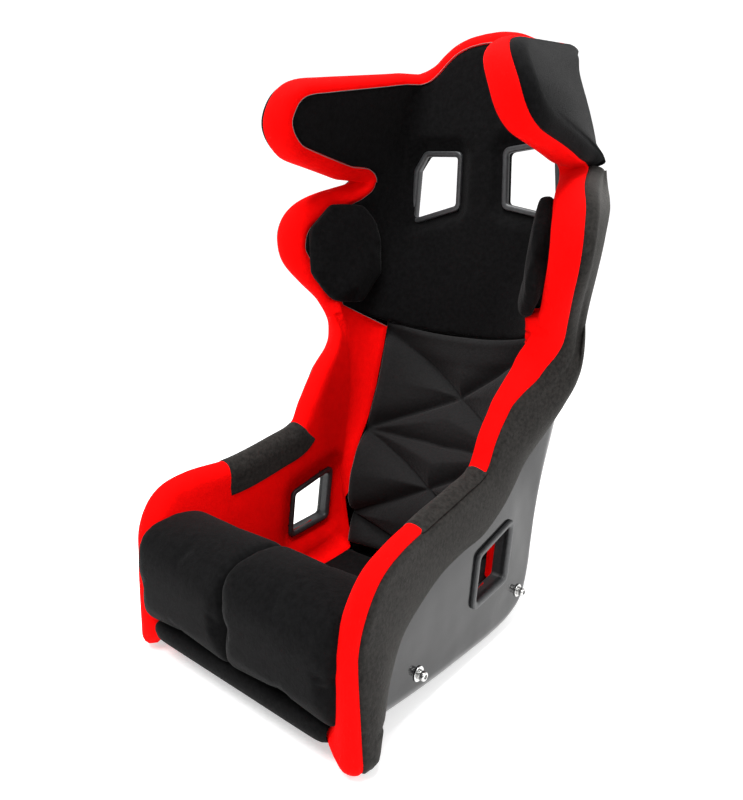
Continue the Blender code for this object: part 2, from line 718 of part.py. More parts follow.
def band_mesh(edge_path, far_edge, first_size, columns=4):
    """An outer band on the shell between its free edge and another curve of the side view."""
    picked = stations_along(edge_path, longest=0.045, turn=20.0)
    lengths = np.concatenate([[0], np.cumsum(np.linalg.norm(np.diff(edge_path, axis=0), axis=1))])
    fractions = lengths[picked] / lengths[-1]
    far = resample(smooth_path(far_edge), fractions)
    rows = []
    for k, i in enumerate(picked):
        thick = first_size(i)
        row = []
        for j in range(columns):
            f = j / (columns - 1)
            y, z = edge_path[i] * (1 - f) + far[k] * f
            over = thick * (1 - f**2) + (SHELL_T / 2 + 0.0035) * f**2
            row.append((wall_point(y, z, -SHELL_T / 2 - GAP), wall_point(y, z, -over)))
        rows.append(row)
    return slab(rows)


def make_bands():
    edge = inset_side(0.002)
    body = edge[:NOTCH - 6]
    pair("outer_band", band_mesh(body, BAND_EDGE_BODY, lambda i: nose_size(i)[2]), "grey_suede")
    head = edge[NOTCH + 8:]
    pair("head_side_cover", band_mesh(head, BAND_EDGE_HEAD, lambda i: 0.012), "black_velour")


# ---------------------------------------------------------------- loose cushions
def pillow_mesh(low, high, profile, columns=7, rounding=0.22):
    """A cushion across x from low to high. Its side view is the closed profile, drawn in at both ends."""
    middle = np.mean(profile, axis=0)
    sections = []
    for k in range(columns):
        f = k / (columns - 1)
        edge = abs(2 * f - 1)
        shrink = 1 - rounding * edge**4
        x = low + (high - low) * (0.5 + 0.5 * math.sin((f - 0.5) * math.pi * 0.985))
        sections.append([(x, *(middle + (np.array(p) - middle) * shrink)) for p in profile])
    return mesh_of(*loft([[np.array(p) for p in section] for section in sections]))


THIGH_PROFILE = [(-0.318, 0.074), (-0.329, 0.105), (-0.3315, 0.145), (-0.330, 0.180), (-0.313, 0.208),
                 (-0.284, 0.219), (-0.248, 0.216), (-0.216, 0.202), (-0.200, 0.170), (-0.200, 0.110),
                 (-0.206, 0.066), (-0.262, 0.070)]


def make_cushions():
    mesh = pillow_mesh(0.0012, CUSHION_HALF_W, THIGH_PROFILE)
    pair("thigh_cushion", mesh, "black_velour")
    strip = [(-0.326, 0.038), (-0.329, 0.052), (-0.324, 0.066), (-0.312, 0.068), (-0.306, 0.062), (-0.306, 0.036),
             (-0.314, 0.033)]
    flat = loft([[np.array((x, y, z)) for y, z in strip] for x in (-STRIP_HALF_W + 0.008, STRIP_HALF_W - 0.008)])
    add_object("front_strip", mesh_of(*flat), "black_velour")


def make_shoulder_pads():
    """Hexagonal pads on the inner faces of the shoulder wings."""
    centre_t, centre_c = 16.55, 2.10
    corners = [(1.55, -0.10), (1.40, 0.22), (0.45, 0.50), (-0.60, 0.50), (-1.75, 0.22), (-1.75, -0.06),
               (-0.90, -0.42), (0.55, -0.42)]
    lift, thick = 0.0040, 0.026
    rings = (0.0, 0.55, 0.90, 1.0)
    heights = (1.0, 1.0, 0.86, 0.52)
    unders, overs = [], []
    for ring, height in zip(rings[1:], heights[1:]):
        for dt, dc in corners:
            t, c = centre_t + dt * ring, centre_c + dc * ring
            normal = pad_normal(t, c)
            base = spot(t, c, 1.0)
            unders.append(base + normal * lift)
            overs.append(base + normal * (lift + thick * height))
    middle = spot(centre_t, centre_c, 1.0)
    normal = pad_normal(centre_t, centre_c)
    count, total = len(corners), len(unders)
    vertices = unders + overs + [middle + normal * lift, middle + normal * (lift + thick)]
    faces = []
    for j in range(count):
        k = (j + 1) % count
        faces.append((2 * total, j, k))
        faces.append((2 * total + 1, total + k, total + j))
        for ring in range(len(rings) - 2):
            a, b = ring * count, (ring + 1) * count
            faces.append((a + j, b + j, b + k, a + k))
            faces.append((total + a + j, total + a + k, total + b + k, total + b + j))
        last = (len(rings) - 2) * count
        faces.append((last + j, total + last + j, total + last + k, last + k))
    pair("shoulder_pad", mesh_of(vertices, faces), "black_velour")


def pad_normal(t, c):
    """Unit normal of the upholstery's surface, towards the occupant."""
    e = 0.02
    along = spot(min(t + e, TOP), c, 1.0) - spot(t - e, c, 1.0)
    across = spot(t, c + e, 1.0) - spot(t, c - e, 1.0)
    normal = np.cross(across, along)
    return normal / np.linalg.norm(normal)


# ---------------------------------------------------------------- harness slot bezels
def ring_solid(name, outer, opening, axis, low, high, sleeve_end=None):
    """A flat ring with a through opening, and with a sleeve round the opening if sleeve_end is given."""
    body = add_object(name, prism(rounded(outer, 0.014), axis, low, high), "bezel_plastic")
    if sleeve_end is not None:
        tube = rounded(grown(opening, SLEEVE_T), 0.009)
        near = high - 0.001 if sleeve_end > high else low + 0.001
        span = sorted((near, sleeve_end))
        boolean(body, extruded(f"{name}_sleeve", tube, axis, *span), "UNION")
        hole = rounded(opening, 0.007)
    else:
        hole = rounded(grown(opening, SLEEVE_T + 0.0005), 0.009)
    boolean(body, extruded(f"{name}_opening", hole, axis, low - 0.1, high + 0.1))
    return body


def make_shoulder_bezels():
    t = 19.0
    face_y = spot(t, 0.6, 1.0)[1] - 0.0025
    back_y = spot(t, 0.6)[1] + SHELL_T / 2 + 0.003
    for side, outline in (("left", SHOULDER_SLOT), ("right", flipped(SHOULDER_SLOT))):
        outer = grown(outline, BEZEL_RIM - 0.003)
        ring_solid(f"shoulder_bezel_front_{side}", outer, outline, "Y", face_y - BEZEL_T, face_y,
                   back_y + BEZEL_T)
        ring_solid(f"shoulder_bezel_rear_{side}", outer, outline, "Y", back_y, back_y + BEZEL_T - 0.001)


def make_lap_bezels():
    for side, sign in (("left", 1), ("right", -1)):
        inner_x = LAP_FLANGE_X
        outer_x = MOUNT_X + SHELL_T / 2 + 0.0006
        spans = [(inner_x - BEZEL_T, inner_x), (outer_x, outer_x + BEZEL_T - 0.001)]
        sleeve_end = outer_x + BEZEL_T
        if sign < 0:
            spans = [(-b, -a) for a, b in spans]
            sleeve_end = -sleeve_end
        outer = grown(LAP_SLOT, BEZEL_RIM)
        ring_solid(f"lap_bezel_inner_{side}", outer, LAP_SLOT, "X", *spans[0], sleeve_end)
        ring_solid(f"lap_bezel_outer_{side}", outer, LAP_SLOT, "X", *spans[1])


def make_crotch_bezel():
    top = max(spot(t, 0.0, 1.0)[2] for t in (2.5, 3.0)) + 0.0012
    outer = grown(CROTCH_SLOT, 0.010)
    ring_solid("crotch_bezel", outer, CROTCH_SLOT, "Z", top, top + 0.003, 0.004)


# ---------------------------------------------------------------- side mount hardware
def turned(name, profile, slot, origin, sign, segments=14):
    """A turned piece about an X axis. The profile is (distance out, radius), closed."""
    mesh = bpy.data.meshes.new(name)
    work = bmesh.new()
    ring = [work.verts.new((0, radius, out)) for out, radius in profile]
    for a, b in zip(ring, ring[1:] + ring[:1]):
        work.edges.new((a, b))
    bmesh.ops.spin(work, geom=work.verts[:] + work.edges[:], axis=(0, 0, 1), cent=(0, 0, 0),
                   angle=2 * math.pi, steps=segments)
    bmesh.ops.remove_doubles(work, verts=work.verts, dist=1e-6)
    bmesh.ops.rotate(work, verts=work.verts, cent=(0, 0, 0), matrix=Matrix.Rotation(sign * math.pi / 2, 3, "Y"))
    bmesh.ops.recalc_face_normals(work, faces=work.faces)
    work.to_mesh(mesh)
    work.free()
    obj = add_object(name, mesh, slot)
    obj.location = origin
    return obj


def make_mount(side, sign, place, y):
    face = MOUNT_X + SHELL_T / 2 + 0.0003
    origin = (sign * face, y, MOUNT_Z)
    bore = BOLT_R + 0.0003
    turned(f"washer_{place}_{side}", [(0, bore), (0, WASHER_R), (WASHER_T, WASHER_R), (WASHER_T, bore)],
           "zinc_steel", origin, sign)
    start = WASHER_T + 0.0003
    spring = turned(f"spring_washer_{place}_{side}",
                    [(start, bore), (start, SPRING_R), (start + SPRING_T, SPRING_R), (start + SPRING_T, bore)],
                    "zinc_steel", origin, sign)
    split = prism([(-0.0005, 0.002), (0.0005, 0.002), (0.0005, 0.010), (-0.0005, 0.010)], "X", 0.0, 0.02)
    split_cutter = add_cutter(f"washer_split_{place}_{side}", split)
    split_cutter.location = origin
    split_cutter.rotation_euler = (0.3, 0, math.pi if sign < 0 else 0)
    boolean(spring, split_cutter)
    seat = start + SPRING_T + 0.0003
    chamfer = 0.0008
    bolt = turned(f"bolt_{place}_{side}",
                  [(seat - BOLT_L, 0.0), (seat - BOLT_L, BOLT_R), (seat, BOLT_R), (seat, BOLT_HEAD_R),
                   (seat + BOLT_HEAD_H - chamfer, BOLT_HEAD_R), (seat + BOLT_HEAD_H, BOLT_HEAD_R - chamfer),
                   (seat + BOLT_HEAD_H, 0.0)], "zinc_steel", origin, sign)
    key = prism(circle(HEX_KEY_R, 6), "X", seat + BOLT_HEAD_H - HEX_KEY_DEPTH, seat + 0.02)
    key_cutter = add_cutter(f"hex_key_{place}_{side}", key)
    key_cutter.location = origin
    key_cutter.rotation_euler = (0, 0, math.pi if sign < 0 else 0)
    boolean(bolt, key_cutter)
    inside = -(SHELL_T + 0.0014)
    turned(f"insert_{place}_{side}",
           [(inside, bore), (inside, INSERT_R), (inside - INSERT_T, INSERT_R),
            (inside - INSERT_T, INSERT_BOSS_R), (inside - INSERT_BOSS_L, INSERT_BOSS_R),
            (inside - INSERT_BOSS_L, bore)], "insert_steel", origin, sign)


def make_hardware():
    for side, sign in (("left", 1), ("right", -1)):
        for place, y in (("front", FRONT_BOLT_Y), ("rear", REAR_BOLT_Y)):
            make_mount(side, sign, place, y)


make_shell()
make_base_pad()
make_lumbar()
make_back_cover()
make_side_covers()
make_noses()
make_bands()
make_cushions()
make_shoulder_pads()
make_shoulder_bezels()
make_lap_bezels()
make_crotch_bezel()
make_hardware()
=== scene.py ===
"""Looks of the racing seat: fine surfaces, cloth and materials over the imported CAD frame, in metres.

The upholstery follows the same bucket surface as the CAD. A spine runs from the front of the pan to the head,
and at each station t along it a section c goes out across the floor (0 to 1), round the corner (1 to 2) and
along the side wall (2 to 3). Layer 0 is the shell and layer 1 the upholstery's surface.
"""

import functools
import math

import bmesh
import bpy
import numpy as np
from mathutils import Matrix, Vector
from mathutils.geometry import delaunay_2d_cdt


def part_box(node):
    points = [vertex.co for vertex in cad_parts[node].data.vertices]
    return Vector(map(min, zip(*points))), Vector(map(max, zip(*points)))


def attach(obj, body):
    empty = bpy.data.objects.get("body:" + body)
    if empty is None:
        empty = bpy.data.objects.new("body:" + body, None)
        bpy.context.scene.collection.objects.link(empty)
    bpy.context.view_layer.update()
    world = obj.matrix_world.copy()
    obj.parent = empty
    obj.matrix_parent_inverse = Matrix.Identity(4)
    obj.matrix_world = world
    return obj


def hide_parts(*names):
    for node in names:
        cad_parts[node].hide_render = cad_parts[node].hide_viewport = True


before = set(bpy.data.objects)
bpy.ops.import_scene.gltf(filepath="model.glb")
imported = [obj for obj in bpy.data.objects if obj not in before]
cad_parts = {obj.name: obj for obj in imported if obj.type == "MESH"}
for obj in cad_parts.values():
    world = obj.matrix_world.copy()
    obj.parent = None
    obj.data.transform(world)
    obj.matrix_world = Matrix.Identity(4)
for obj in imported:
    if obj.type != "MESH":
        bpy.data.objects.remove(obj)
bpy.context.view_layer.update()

# ---------------------------------------------------------------- sizes
SHELL_T = 0.004
MOUNT_X, MOUNT_Z = 0.205, 0.063
BOLT_Y = (-0.165, 0.1235)
SEAM_X = 0.155           # half width of the black middle of the back
BACK_FROM = 13.78        # station where the plain upper back begins
SEAM_DIP, SEAM_W = 0.0028, 0.009     # how far a cover rolls down at a seam, and over what width
# radius of the grey tubes along the red and black seams: thread, whose light colour is also a painted
# highlight on the seam lines
THREAD_AND_HIGHLIGHT_R = 0.0006
BAND_FOOT_T = 0.0085      # thickness of an outer band near its lower edge

# spine y, spine z, half width, corner radius, wall end y, wall end z, half width there,
# straight share of the wall, floor pad, wall pad, inner corner radius
STATIONS = np.array([
    (-0.302, 0.040, 0.205, 0.028, -0.304, 0.300, 0.220, 0.50, 0.022, 0.019, 0.030),
    (-0.228, 0.028, 0.205, 0.028, -0.235, 0.320, 0.210, 0.50, 0.022, 0.019, 0.030),
    (-0.128, 0.016, 0.205, 0.028, -0.150, 0.330, 0.199, 0.50, 0.022, 0.028, 0.030),
    (-0.028, 0.009, 0.205, 0.028, -0.075, 0.350, 0.197, 0.50, 0.022, 0.028, 0.030),
    (0.052, 0.007, 0.205, 0.026, -0.020, 0.365, 0.197, 0.50, 0.024, 0.028, 0.030),
    (0.110, 0.012, 0.205, 0.026, 0.010, 0.380, 0.198, 0.50, 0.034, 0.029, 0.045),
    (0.147, 0.030, 0.205, 0.026, 0.030, 0.395, 0.199, 0.50, 0.038, 0.030, 0.060),
    (0.166, 0.070, 0.205, 0.030, 0.045, 0.410, 0.201, 0.50, 0.036, 0.030, 0.080),
    (0.174, 0.115, 0.206, 0.036, 0.058, 0.425, 0.203, 0.40, 0.034, 0.031, 0.095),
    (0.184, 0.165, 0.208, 0.045, 0.070, 0.440, 0.208, 0.30, 0.032, 0.033, 0.105),
    (0.204, 0.220, 0.213, 0.065, 0.080, 0.455, 0.212, 0.20, 0.032, 0.035, 0.120),
    (0.240, 0.280, 0.219, 0.090, 0.088, 0.472, 0.218, 0.10, 0.032, 0.037, 0.135),
    (0.276, 0.340, 0.225, 0.115, 0.090, 0.495, 0.226, 0.00, 0.032, 0.038, 0.150),
    (0.300, 0.400, 0.230, 0.130, 0.075, 0.525, 0.252, 0.00, 0.030, 0.038, 0.165),
    (0.311, 0.460, 0.232, 0.140, 0.060, 0.555, 0.280, 0.00, 0.030, 0.038, 0.170),
    (0.315, 0.520, 0.232, 0.130, 0.050, 0.590, 0.293, 0.00, 0.030, 0.038, 0.150),
    (0.317, 0.580, 0.231, 0.110, 0.045, 0.620, 0.299, 0.00, 0.028, 0.038, 0.120),
    (0.319, 0.640, 0.230, 0.085, 0.040, 0.655, 0.302, 0.00, 0.026, 0.040, 0.080),
    (0.321, 0.690, 0.228, 0.062, 0.035, 0.693, 0.299, 0.00, 0.026, 0.042, 0.050),
    (0.322, 0.736, 0.226, 0.056, 0.000, 0.736, 0.285, 0.00, 0.026, 0.044, 0.036),
    (0.322, 0.786, 0.222, 0.054, -0.040, 0.786, 0.250, 0.00, 0.026, 0.046, 0.034),
    (0.321, 0.836, 0.208, 0.052, -0.040, 0.836, 0.236, 0.00, 0.026, 0.046, 0.034),
    (0.320, 0.886, 0.190, 0.050, -0.040, 0.886, 0.212, 0.00, 0.026, 0.044, 0.034),
    (0.318, 0.936, 0.168, 0.048, -0.040, 0.936, 0.192, 0.00, 0.026, 0.040, 0.032),
    (0.316, 0.990, 0.140, 0.046, -0.040, 0.990, 0.170, 0.00, 0.026, 0.036, 0.030),
])
TOP = len(STATIONS) - 1

# The shell's free edge in the side view (y, z), and the head's top edge in the front view (x, z).
EDGE_SIDE = [
    (-0.302, 0.006), (-0.303, 0.080), (-0.303, 0.150), (-0.298, 0.205), (-0.272, 0.246), (-0.225, 0.262),
    (-0.150, 0.268), (-0.060, 0.284), (0.004, 0.301), (0.036, 0.345), (0.082, 0.394), (0.136, 0.425),
    (0.171, 0.474), (0.152, 0.526), (0.111, 0.570), (0.082, 0.606), (0.076, 0.638), (0.081, 0.664),
    (0.096, 0.685), (0.124, 0.702), (0.170, 0.719), (0.206, 0.733), (0.221, 0.748), (0.204, 0.762),
    (0.155, 0.772), (0.088, 0.786), (0.036, 0.799), (0.008, 0.819), (0.000, 0.843), (0.007, 0.866),
    (0.028, 0.881), (0.075, 0.891), (0.150, 0.905), (0.215, 0.917), (0.262, 0.926),
]
NOTCH_POINT = (0.221, 0.748)
EDGE_TOP = [(0.160, 0.928), (0.138, 0.935), (0.115, 0.946), (0.092, 0.960), (0.066, 0.972), (0.034, 0.979),
            (0.0, 0.981)]
PATCH_FROM, PATCH_TO = -0.168, 0.004
PATCH_W = 0.052

# Lower edges of the outer bands, side view (y, z).
BAND_EDGE_BODY = [
    (-0.268, 0.000), (-0.250, 0.040), (-0.234, 0.095), (-0.208, 0.143), (-0.168, 0.171), (-0.116, 0.194),
    (-0.060, 0.205), (0.000, 0.212), (0.066, 0.245), (0.118, 0.298), (0.176, 0.350), (0.214, 0.404),
    (0.232, 0.470), (0.232, 0.530), (0.220, 0.590), (0.216, 0.650), (0.224, 0.700), (0.246, 0.744),
]
BAND_EDGE_HEAD = [
    (0.256, 0.752), (0.262, 0.790), (0.262, 0.830), (0.256, 0.866), (0.252, 0.888), (0.256, 0.905),
]

# The quilted cushion: its height and depth (z, y) along the middle and along each side seam.
QUILT_MIDDLE = [
    (0.050, 0.112), (0.090, 0.116), (0.143, 0.127), (0.190, 0.144), (0.240, 0.172), (0.290, 0.209),
    (0.346, 0.249), (0.400, 0.272), (0.462, 0.283),
]
QUILT_SIDE = [(0.050, 0.104), (0.080, 0.106), (0.143, 0.101), (0.193, 0.110), (0.242, 0.129), (0.279, 0.154),
              (0.292, 0.163), (0.359, 0.191), (0.435, 0.214), (0.467, 0.223)]
QUILT_FOOT = 0.052
# Stitched grooves as lines of (x, z) points, on both sides of the middle.
GROOVES = [
    [(0.155, 0.466), (0.075, 0.402), (0.0, 0.346), (-0.075, 0.312), (-0.155, 0.278)],
    [(0.155, 0.278), (0.075, 0.268), (0.0, 0.264)],
    [(0.155, 0.278), (0.075, 0.232), (0.0, 0.190), (-0.075, 0.150), (-0.155, 0.108)],
    [(0.155, 0.108), (0.0, 0.060)],
]

SHOULDER_SLOT = [(0.057, 0.705), (0.055, 0.789), (0.121, 0.794), (0.140, 0.769), (0.148, 0.684)]
LAP_SLOT = [(-0.018, 0.107), (-0.008, 0.175), (0.079, 0.195), (0.066, 0.113)]
CROTCH_SLOT = [(-0.032, -0.070), (0.032, -0.070), (0.032, -0.040), (-0.032, -0.040)]
BEZEL_RIM, BEZEL_T = 0.012, 0.0055
LAP_FLANGE_X = 0.1900
# How far the cloth is pressed in round the slots, and over what width.
LAP_DISH, LAP_DISH_W = 0.0145, 0.034
BACK_DISH, BACK_DISH_W = 0.013, 0.030
BACK_HALF, BACK_FADE = 0.17, 0.03      # the back is pressed in only inside this half width
SLOT_CORNER, SLEEVE_FLARE = 0.010, 0.004
PATCH_RISE = 0.0014
BEZIER = 0.56
SEAM_SETBACK = 0.004      # how far in from the shell's edge an outer band begins


# ---------------------------------------------------------------- curves
def catmull(a, b, c, d, f):
    return 0.5 * (2 * b + (c - a) * f + (2 * a - 5 * b + 4 * c - d) * f**2 + (3 * b - a - 3 * c + d) * f**3)


def smooth_path(points, step=0.002):
    """A smooth curve through the points, as points about one step apart."""
    given = np.array(points, float)
    padded = np.vstack([2 * given[0] - given[1], given, 2 * given[-1] - given[-2]])
    out = []
    for i in range(1, len(padded) - 2):
        count = max(2, round(float(np.linalg.norm(padded[i + 1] - padded[i])) / step))
        for j in range(count):
            out.append(catmull(padded[i - 1], padded[i], padded[i + 1], padded[i + 2], j / count))
    out.append(given[-1])
    return np.array(out)


def lengths_of(path):
    return np.concatenate([[0], np.cumsum(np.linalg.norm(np.diff(path, axis=0), axis=1))])


def resample(path, fractions):
    lengths = lengths_of(path)
    wanted = np.array(fractions) * lengths[-1]
    return np.stack([np.interp(wanted, lengths, path[:, k]) for k in range(path.shape[1])], axis=1)


def smoothed(values, width):
    """The running mean of the rows of values."""
    kernel = np.ones(width) / width
    columns = [np.convolve(np.pad(column, width // 2, "edge"), kernel, "valid") for column in values.T]
    return np.stack(columns, axis=1)


def unit(vector):
    return vector / np.linalg.norm(vector)


def smoothstep(f):
    f = np.clip(f, 0.0, 1.0)
    return f * f * (3 - 2 * f)


# ---------------------------------------------------------------- the bucket surface
@functools.lru_cache(maxsize=None)
def station(t):
    """The station's values at t, smooth between the table's rows."""
    t = min(max(t, 0.0), TOP - 1e-9)
    i = int(t)
    rows = [STATIONS[min(max(k, 0), TOP)] for k in (i - 1, i, i + 1, i + 2)]
    if i == 0:
        rows[0] = 2 * rows[1] - rows[2]
    return tuple(float(v) for v in catmull(*rows, t - i))


def section_at(t, c, inner=False):
    """(half width, height over the spine) at section place c of station t."""
    y, z, half, radius, end_y, end_z, half_end, straight, floor_pad, wall_pad, inner_radius = station(t)
    length = math.hypot(end_y - y, end_z - z)
    start = max(radius, straight * length)
    lift = floor_pad if inner else 0.0
    pad = wall_pad if inner else 0.0
    corner = inner_radius if inner else radius
    side = abs(c)
    if side <= 1:
        return side * (half - pad - corner), lift
    if side <= 2:
        angle = (side - 1) * math.pi / 2
        return half - pad - corner * (1 - math.sin(angle)), lift + corner * (1 - math.cos(angle))
    height = lift + corner + (side - 2) * (length - lift - corner)
    flare = (half_end - half) * max(0.0, height - start) / (length - start)
    return half + flare - pad, height


def place_at(t, x):
    """The section place where the upholstery's surface is this far out, in the corner."""
    row = station(t)
    half, pad, corner = row[2], row[9], row[10]
    return 1 + math.asin((x - (half - pad - corner)) / corner) / (math.pi / 2)


def spot(t, c, layer=0.0):
    """The point at station t and section place c, on this layer."""
    y, z, _, _, end_y, end_z = station(t)[:6]
    length = math.hypot(end_y - y, end_z - z)
    width, height = section_at(t, c)
    if layer:
        inner_width, inner_height = section_at(t, c, inner=True)
        width += layer * (inner_width - width)
        height += layer * (inner_height - height)
    rise_y, rise_z = (end_y - y) / length, (end_z - z) / length
    return np.array([math.copysign(width, c), y + height * rise_y, z + height * rise_z])


def inward(t, c, layer=0.0, e=0.01):
    """The layer's unit normal at (t, c), towards the occupant."""
    along = spot(min(t + e, TOP), c, layer) - spot(max(t - e, 0), c, layer)
    across = spot(t, c + e, layer) - spot(t, c - e, layer)
    return unit(np.cross(across, along))


def off_shell(t, c, distance):
    return spot(t, c) + inward(t, c) * distance


def locate(y, z):
    """(t, c) of the wall point at this place in the side view. c under 2 is in the corner or the floor."""
    def side_of(t):
        s = station(t)
        return (s[5] - s[1]) * (y - s[0]) - (s[4] - s[0]) * (z - s[1])

    low, high = 0.0, float(TOP)
    if side_of(low) < 0:
        high = 0.0
    for _ in range(24):
        middle = (low + high) / 2
        if side_of(middle) > 0:
            low = middle
        else:
            high = middle
    t = (low + high) / 2
    s = station(t)
    length = math.hypot(s[4] - s[0], s[5] - s[1])
    height = ((y - s[0]) * (s[4] - s[0]) + (z - s[1]) * (s[5] - s[1])) / length
    if height >= s[3]:
        return t, 2 + (height - s[3]) / (length - s[3])
    return t, 1 + math.acos(max(-1.0, min(1.0, 1 - height / s[3]))) / (math.pi / 2)


def wall_point(y, z, distance=0.0):
    """A point over the side wall at this place in the side view. Below the shell it goes on straight down."""
    t, c = locate(y, z)
    if t < 0.02 or c < 1.7:
        base = station(t)
        if z < base[1] + base[3] and t < 2:
            return np.array([base[2] - distance, y, z])
    place = off_shell(t, c, distance)
    if t < 0.02:
        place[1] = y
        place[2] = z
    return place


def locate_front(x, z, layer=0.0):
    """(t, c) of the floor or corner point that has this place in the front view."""
    t = float(TOP) - 1.5
    c = 0.5
    for _ in range(30):
        t += (z - spot(t, c, layer)[2]) / 0.05
        row = station(t)
        pad = row[9] * layer
        radius = row[3] + layer * (row[10] - row[3])
        flat = row[2] - pad - radius
        if x <= flat:
            c = x / flat
        else:
            c = 1 + math.asin(min(1.0, (x - flat) / radius)) / (math.pi / 2)
    return t, c


# ---------------------------------------------------------------- the shell's free edge
SIDE_PATH = smooth_path(EDGE_SIDE)
TOP_PATH = smooth_path(EDGE_TOP)
SIDE_COUNT = len(SIDE_PATH)


def edge_frame():
    """Each edge point's place, the way out past it, its outward normal, and the way through the pad."""
    places, normals, pads = [], [], []
    for y, z in SIDE_PATH:
        t, c = locate(y, z)
        foot = z < station(t)[1] + station(t)[3] and t < 2
        places.append(wall_point(y, z))
        normals.append(np.array([1.0, 0, 0]) if foot else -inward(t, c))
        pads.append(np.array([-station(t)[9], 0, 0]) if foot else spot(t, c, 1.0) - spot(t, c))
    for x, z in TOP_PATH[1:]:
        t, c = locate_front(x, z)
        c = max(c, 1e-4)
        places.append(spot(t, c))
        normals.append(-inward(t, c))
        pads.append(spot(t, c, 1.0) - spot(t, c))
    places, normals, pads = np.array(places), np.array(normals), np.array(pads)
    normals = smoothed(normals, 9)
    normals /= np.linalg.norm(normals, axis=1)[:, None]
    along = smoothed(np.gradient(places, axis=0), 9)
    outs = np.cross(normals, along)
    outs /= np.linalg.norm(outs, axis=1)[:, None]
    return places, outs, normals, smoothed(pads, 15)


EDGE, EDGE_OUT, EDGE_NORMAL, EDGE_PAD = edge_frame()
NOTCH = int(np.argmin(np.linalg.norm(SIDE_PATH - np.array(NOTCH_POINT), axis=1)))
ELBOW = [i for i, (y, z) in enumerate(SIDE_PATH) if 0.24 < z < 0.31 and PATCH_FROM <= y <= PATCH_TO]
FRONT_CORNER = int(np.argmin(np.linalg.norm(SIDE_PATH - np.array((-0.285, 0.235)), axis=1)))


def edge_place(i, setback):
    """The section place over the shell at this distance in from edge point i."""
    x, y, z = EDGE[i] - EDGE_OUT[i] * setback
    return locate(y, z) if i < SIDE_COUNT else locate_front(max(x, 1e-5), z)


# Along the edge: bulge, outer thickness, roll and inner seam, from the pan's front to the middle of the head.
NOSE_SIZES = [
    (0.026, 0.014, 0.014, 0.016, 0.016, 0.012, 0.024, 0.027, 0.017, 0.014, 0.012),
    (0.032, 0.015, 0.014, 0.020, 0.028, 0.026, 0.024, 0.022, 0.020, 0.016, 0.014),
    (0.004, 0.014, 0.014, 0.014, 0.014, 0.008, -0.004, -0.006, 0.005, 0.004, 0.004),
    (0.020, 0.022, 0.022, 0.024, 0.024, 0.014, 0.001, -0.002, 0.010, 0.007, 0.007),
]


def nose_size(i):
    """(bulge past the edge, outer thickness, how far in the roll begins, setback of the inner seam)."""
    marks = [0, ELBOW[0], ELBOW[-1], ELBOW[-1] + 60, NOTCH - 40, NOTCH, NOTCH + 30, NOTCH + 95, NOTCH + 130,
             SIDE_COUNT, len(EDGE)]
    return tuple(np.interp(i, marks, sizes) for sizes in NOSE_SIZES)


def inner_point(i, setback):
    t, c = edge_place(i, setback)
    place = spot(t, c, 1.0)
    if i < FRONT_CORNER and t < 0.02:
        place[1] = EDGE[i][1] + setback
    return place


def quarter(a, b, c, d, count, start=0.0, end=1.0):
    """Points of a Bezier curve between two shares of it."""
    f = np.linspace(start, end, count + 1)[:, None]
    return list((1 - f)**3 * a + 3 * (1 - f)**2 * f * b + 3 * (1 - f) * f**2 * c + f**3 * d)


def split_at(i):
    """Where the red cover meets the outer band, as a share of the way from crest to shell."""
    marks = [0, FRONT_CORNER, ELBOW[0], ELBOW[-1], ELBOW[-1] + 50, NOTCH, SIDE_COUNT, len(EDGE)]
    return float(np.interp(i, marks, [0.72, 0.60, 0.55, 0.55, 0.42, 0.30, 0.35, 0.80]))


def nose_profile(i, raised=0.0, count=7):
    """The rounded section of the padded edge at point i, from inside over the crest to the outer seam."""
    bulge, outer, roll, _ = nose_size(i)
    place, out, normal, pad = EDGE[i], EDGE_OUT[i], EDGE_NORMAL[i], EDGE_PAD[i]
    inside = inner_point(i, roll)
    towards_edge = unit(inner_point(i, roll - 0.003) - inside)
    across = unit(normal * outer - pad)
    inside = inside - across * raised
    crest = place + out * (bulge + raised) + (pad + normal * outer) / 2
    seam = place - out * SEAM_SETBACK + normal * (outer + raised)
    half = float(np.linalg.norm(normal * outer - pad)) / 2
    leave = inside + towards_edge * BEZIER * (roll + bulge)
    first = quarter(inside, leave, crest - across * BEZIER * half, crest, count)[:-1]
    arrive = seam + out * BEZIER * (bulge + SEAM_SETBACK)
    second = quarter(crest, crest + across * BEZIER * half, arrive, seam, count, 0, split_at(i))
    return first + second


def nose_flank(i, count=6):
    """The rest of that section, from the outer seam to the outside of the shell."""
    bulge, outer, _, _ = nose_size(i)
    place, out, normal, pad = EDGE[i], EDGE_OUT[i], EDGE_NORMAL[i], EDGE_PAD[i]
    across = unit(normal * outer - pad)
    crest = place + out * bulge + (pad + normal * outer) / 2
    seam = place - out * SEAM_SETBACK + normal * outer
    half = float(np.linalg.norm(normal * outer - pad)) / 2
    arrive = seam + out * BEZIER * (bulge + SEAM_SETBACK)
    return quarter(crest, crest + across * BEZIER * half, arrive, seam, count, split_at(i), 1)


def edge_picks(first, last, longest=0.006, turn=5.0):
    """Edge points for the rows of a sweep, close together where the edge bends."""
    path = EDGE[first:last + 1]
    picked, run, bend = [first], 0.0, 0.0
    for i in range(1, len(path) - 1):
        before, after = path[i] - path[i - 1], path[i + 1] - path[i]
        run += float(np.linalg.norm(before))
        cosine = float(np.dot(before, after) / (np.linalg.norm(before) * np.linalg.norm(after)))
        bend += math.degrees(math.acos(max(-1.0, min(1.0, cosine))))
        if run > longest or bend > turn:
            picked.append(first + i)
            run, bend = 0.0, 0.0
    if picked[-1] >= last - 1:
        picked.pop()
    return picked + [last]


# ---------------------------------------------------------------- meshes
def mesh_from(vertices, faces, name):
    mesh = bpy.data.meshes.new(name)
    mesh.from_pydata([tuple(map(float, v)) for v in vertices], [], faces)
    mesh.validate()
    mesh.update()
    return mesh


